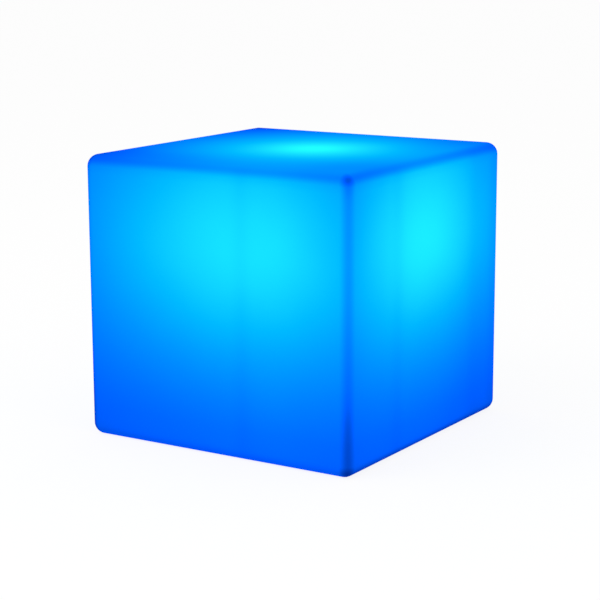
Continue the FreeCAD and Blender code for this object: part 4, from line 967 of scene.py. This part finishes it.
def screwFacts(points):
    # axis, head and shank of one screw, read from its own solid
    low = Vector(min(point[part] for point in points) for part in range(3))
    high = Vector(max(point[part] for point in points) for part in range(3))
    middle = (low + high) / 2
    away = {point.freeze(): math.hypot(point.x - middle.x, point.y - middle.y) for point in points}
    widest = max(away.values())
    rim = [point.z for point, reach in away.items() if reach > widest * 0.99]
    headDown = (min(rim) - low.z) < (high.z - max(rim))
    seat = max(rim) if headDown else min(rim)
    shank = max(reach for point, reach in away.items()
                if (point.z > seat + 1e-4 if headDown else point.z < seat - 1e-4))
    return {"x": middle.x, "y": middle.y, "seat": seat, "headTop": low.z if headDown else high.z,
            "tip": high.z if headDown else low.z, "radius": widest, "shank": shank}


def addRing(build, centre, radius, level, sides):
    points = []
    for index in range(sides):
        angle = 2 * math.pi * index / sides
        points.append(build.verts.new((centre[0] + radius * math.cos(angle),
                                       centre[1] + radius * math.sin(angle), level)))
    return points


def closedLoop(build, loop):
    edges = []
    for start, end in zip(loop, loop[1:] + loop[:1]):
        edges.append(build.edges.get((start, end)) or build.edges.new((start, end)))
    return edges


def addScrew(build, facts, look, turn):
    centre = (facts["x"], facts["y"])
    out = 1.0 if facts["headTop"] > facts["seat"] else -1.0
    height = abs(facts["headTop"] - facts["seat"])
    radius, shank, sides = facts["radius"], facts["shank"], 2 * look["sides"]
    rings = []
    for reach, rise in screwHead["profile"]:
        rings.append(addRing(build, centre, radius * reach, facts["seat"] + out * height * rise, sides))
    for lower, upper in zip(rings, rings[1:]):
        joinRings(build, lower, upper)

    # cross recess: mouth, slanted walls and floor
    def cross(arm, width, level):
        corners = []
        for quarter in range(4):
            angle = turn + quarter * math.pi / 2
            for along, aside in ((arm, -width), (arm, width), (width, width)):
                corners.append(build.verts.new((
                    centre[0] + along * math.cos(angle) - aside * math.sin(angle),
                    centre[1] + along * math.sin(angle) + aside * math.cos(angle), level)))
        return corners

    top = facts["seat"] + out * height
    mouth = cross(radius * screwHead["recess"], radius * screwHead["arm"], top)
    floor = cross(radius * screwHead["recess"] * screwHead["recessFoot"], radius * screwHead["armFoot"],
                  top - out * height * screwHead["recessDepth"])
    joinRings(build, mouth, floor)
    build.faces.new(floor)
    loops = closedLoop(build, rings[-1]) + closedLoop(build, mouth)
    bmesh.ops.triangle_fill(build, use_beauty=True, edges=loops, normal=(0, 0, out))

    # shank: the thread runs round as a screw line and fades out under the head; the tip is tapered
    length = abs(facts["tip"] - facts["seat"])
    rows = max(8, int(length / look["pitch"] * screwThread["rowsPerTurn"]))
    previous = None
    for row in range(rows + 1):
        share = row / rows
        level = facts["seat"] - out * length * share
        ring = []
        for index in range(look["sides"]):
            angle = 2 * math.pi * index / look["sides"]
            phase = (length * share / look["pitch"] - out * angle / (2 * math.pi)) % 1.0
            crest = 1.0 - abs(2 * phase - 1.0)
            fadeIn = min(1.0, share * length / look["pitch"] / screwThread["fadeTurns"])
            nearTip = max(0.0, (share - screwThread["tipFrom"]) / (1.0 - screwThread["tipFrom"]))
            taper = 1.0 - screwThread["tipTaper"] * nearTip
            reach = shank * (1.0 - screwThread["depth"] * (1.0 - crest) * fadeIn) * taper
            ring.append(build.verts.new((centre[0] + reach * math.cos(angle),
                                         centre[1] + reach * math.sin(angle), level)))
        if previous:
            joinRings(build, previous, ring)
        else:
            first = ring
        previous = ring
    build.faces.new(previous)
    under = closedLoop(build, rings[0]) + closedLoop(build, first)
    bmesh.ops.triangle_fill(build, use_beauty=True, edges=under, normal=(0, 0, -out))


def makeScrews(name, look, finish):
    build = bmesh.new()
    for index, points in enumerate(looseParts(nodes[name].data)):
        addScrew(build, screwFacts(points), look, turn=0.35 + index * 1.1)
    bmesh.ops.recalc_face_normals(build, faces=build.faces)
    piece = pieceFrom(build, name + "_cut", finish)
    piece.data.set_sharp_from_angle(angle=math.radians(32))
    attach(piece, "cube")
    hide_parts(name)
    print(name, "made,", len(piece.data.vertices), "points")


screwFinish = stainless()
for screwName, screwLook in screws.items():
    makeScrews(screwName, screwLook, screwFinish)


# stage, lights and camera

stageLook = {
    "floorSize": 60.0,
    "floorOpening": 0.396,     # the cube's flat underside
    "floorColour": (0.94, 0.94, 0.94),
    "plainWhite": 0.88,        # share of the floor's picture that is plain white
    "skyForLight": 0.88,
    "keyPower": 42.0,
    "keySize": 2.4,
    "keyPlace": (-1.6, -2.6, 3.0),
    "fillPower": 16.0,
    "fillSize": 2.4,
    "fillPlace": (2.8, -1.2, 1.8),
    "lampAim": (0.0, 0.0, 0.2),
}


def seenPlainly(tree):
    path = tree.nodes.new("ShaderNodeLightPath")
    seen = Reading(tree, path.outputs["Is Camera Ray"])
    for name in ("Is Glossy Ray", "Is Transmission Ray"):
        seen = seen.atLeast(Reading(tree, path.outputs[name]))
    return seen


def makeFloor():
    # open right under the cube, so that its underside can be looked at; the cube covers the opening
    halves = (stageLook["floorSize"] / 2, stageLook["floorOpening"] / 2)
    corners = [(signX * half, signY * half, 0.0) for half in halves
               for signX, signY in ((-1, -1), (1, -1), (1, 1), (-1, 1))]
    mesh = bpy.data.meshes.new("floor")
    mesh.from_pydata(corners, [], [(0, 1, 5, 4), (1, 2, 6, 5), (2, 3, 7, 6), (3, 0, 4, 7)])
    floor = bpy.data.objects.new("floor", mesh)
    bpy.context.scene.collection.objects.link(floor)
    material = bpy.data.materials.new("pale_floor")
    material.use_nodes = True
    tree = material.node_tree
    tree.nodes.clear()
    matt = tree.nodes.new("ShaderNodeBsdfDiffuse")
    matt.inputs["Color"].default_value = (*stageLook["floorColour"], 1.0)
    plain = tree.nodes.new("ShaderNodeEmission")
    plain.inputs["Color"].default_value = (1.0, 1.0, 1.0, 1.0)
    plain.inputs["Strength"].default_value = 1.0
    mixed = tree.nodes.new("ShaderNodeMixShader")
    output = tree.nodes.new("ShaderNodeOutputMaterial")
    tree.links.new((seenPlainly(tree) * stageLook["plainWhite"]).socket, mixed.inputs[0])
    tree.links.new(matt.outputs[0], mixed.inputs[1])
    tree.links.new(plain.outputs[0], mixed.inputs[2])
    tree.links.new(mixed.outputs[0], output.inputs["Surface"])
    mesh.materials.append(material)


def makeSky():
    world = bpy.data.worlds.new("studio")
    bpy.context.scene.world = world
    world.use_nodes = True
    tree = world.node_tree
    tree.nodes.clear()
    plain = tree.nodes.new("ShaderNodeBackground")
    plain.inputs["Color"].default_value = (1.0, 1.0, 1.0, 1.0)
    plain.inputs["Strength"].default_value = 1.0
    soft = tree.nodes.new("ShaderNodeBackground")
    soft.inputs["Color"].default_value = (1.0, 1.0, 1.0, 1.0)
    soft.inputs["Strength"].default_value = stageLook["skyForLight"]
    mixed = tree.nodes.new("ShaderNodeMixShader")
    output = tree.nodes.new("ShaderNodeOutputWorld")
    tree.links.new(seenPlainly(tree).socket, mixed.inputs[0])
    tree.links.new(soft.outputs[0], mixed.inputs[1])
    tree.links.new(plain.outputs[0], mixed.inputs[2])
    tree.links.new(mixed.outputs[0], output.inputs["Surface"])


def makeLamp(name, place, size, power):
    light = bpy.data.lights.new(name, "AREA")
    light.shape = "SQUARE"
    light.size = size
    light.energy = power
    lamp = bpy.data.objects.new(name, light)
    lamp.location = place
    aim = Vector(stageLook["lampAim"]) - Vector(place)
    lamp.rotation_euler = aim.to_track_quat("-Z", "Y").to_euler()
    bpy.context.scene.collection.objects.link(lamp)


view = {
    "place": (1.32986, -2.07921, 0.68831),
    "turned": 32.534,          # degrees to the left of straight back
    "down": 11.639,
    "roll": -0.2346,
    "lens": 104.884,           # on a sensor 36 mm wide
}


def makeCamera():
    camera = bpy.data.objects.new("camera", bpy.data.cameras.new("camera"))
    camera.data.sensor_width = 36.0
    camera.data.lens = view["lens"]
    camera.data.clip_end = 200.0
    turned, down, roll = (math.radians(view[part]) for part in ("turned", "down", "roll"))
    ahead = Vector((-math.sin(turned) * math.cos(down), math.cos(turned) * math.cos(down), -math.sin(down)))
    right = ahead.cross(Vector((0, 0, 1))).normalized()
    up = right.cross(ahead)
    rightRolled = right * math.cos(roll) + up * math.sin(roll)
    upRolled = up * math.cos(roll) - right * math.sin(roll)
    stand = Matrix((rightRolled, upRolled, -ahead)).transposed().to_4x4()
    camera.matrix_world = Matrix.Translation(view["place"]) @ stand
    bpy.context.scene.collection.objects.link(camera)
    bpy.context.scene.camera = camera


makeFloor()
makeSky()
makeLamp("key_light", stageLook["keyPlace"], stageLook["keySize"], stageLook["keyPower"])
makeLamp("fill_light", stageLook["fillPlace"], stageLook["fillSize"], stageLook["fillPower"])
makeCamera()
bpy.context.scene.view_settings.view_transform = "Standard"
print("stage, lights and camera set")
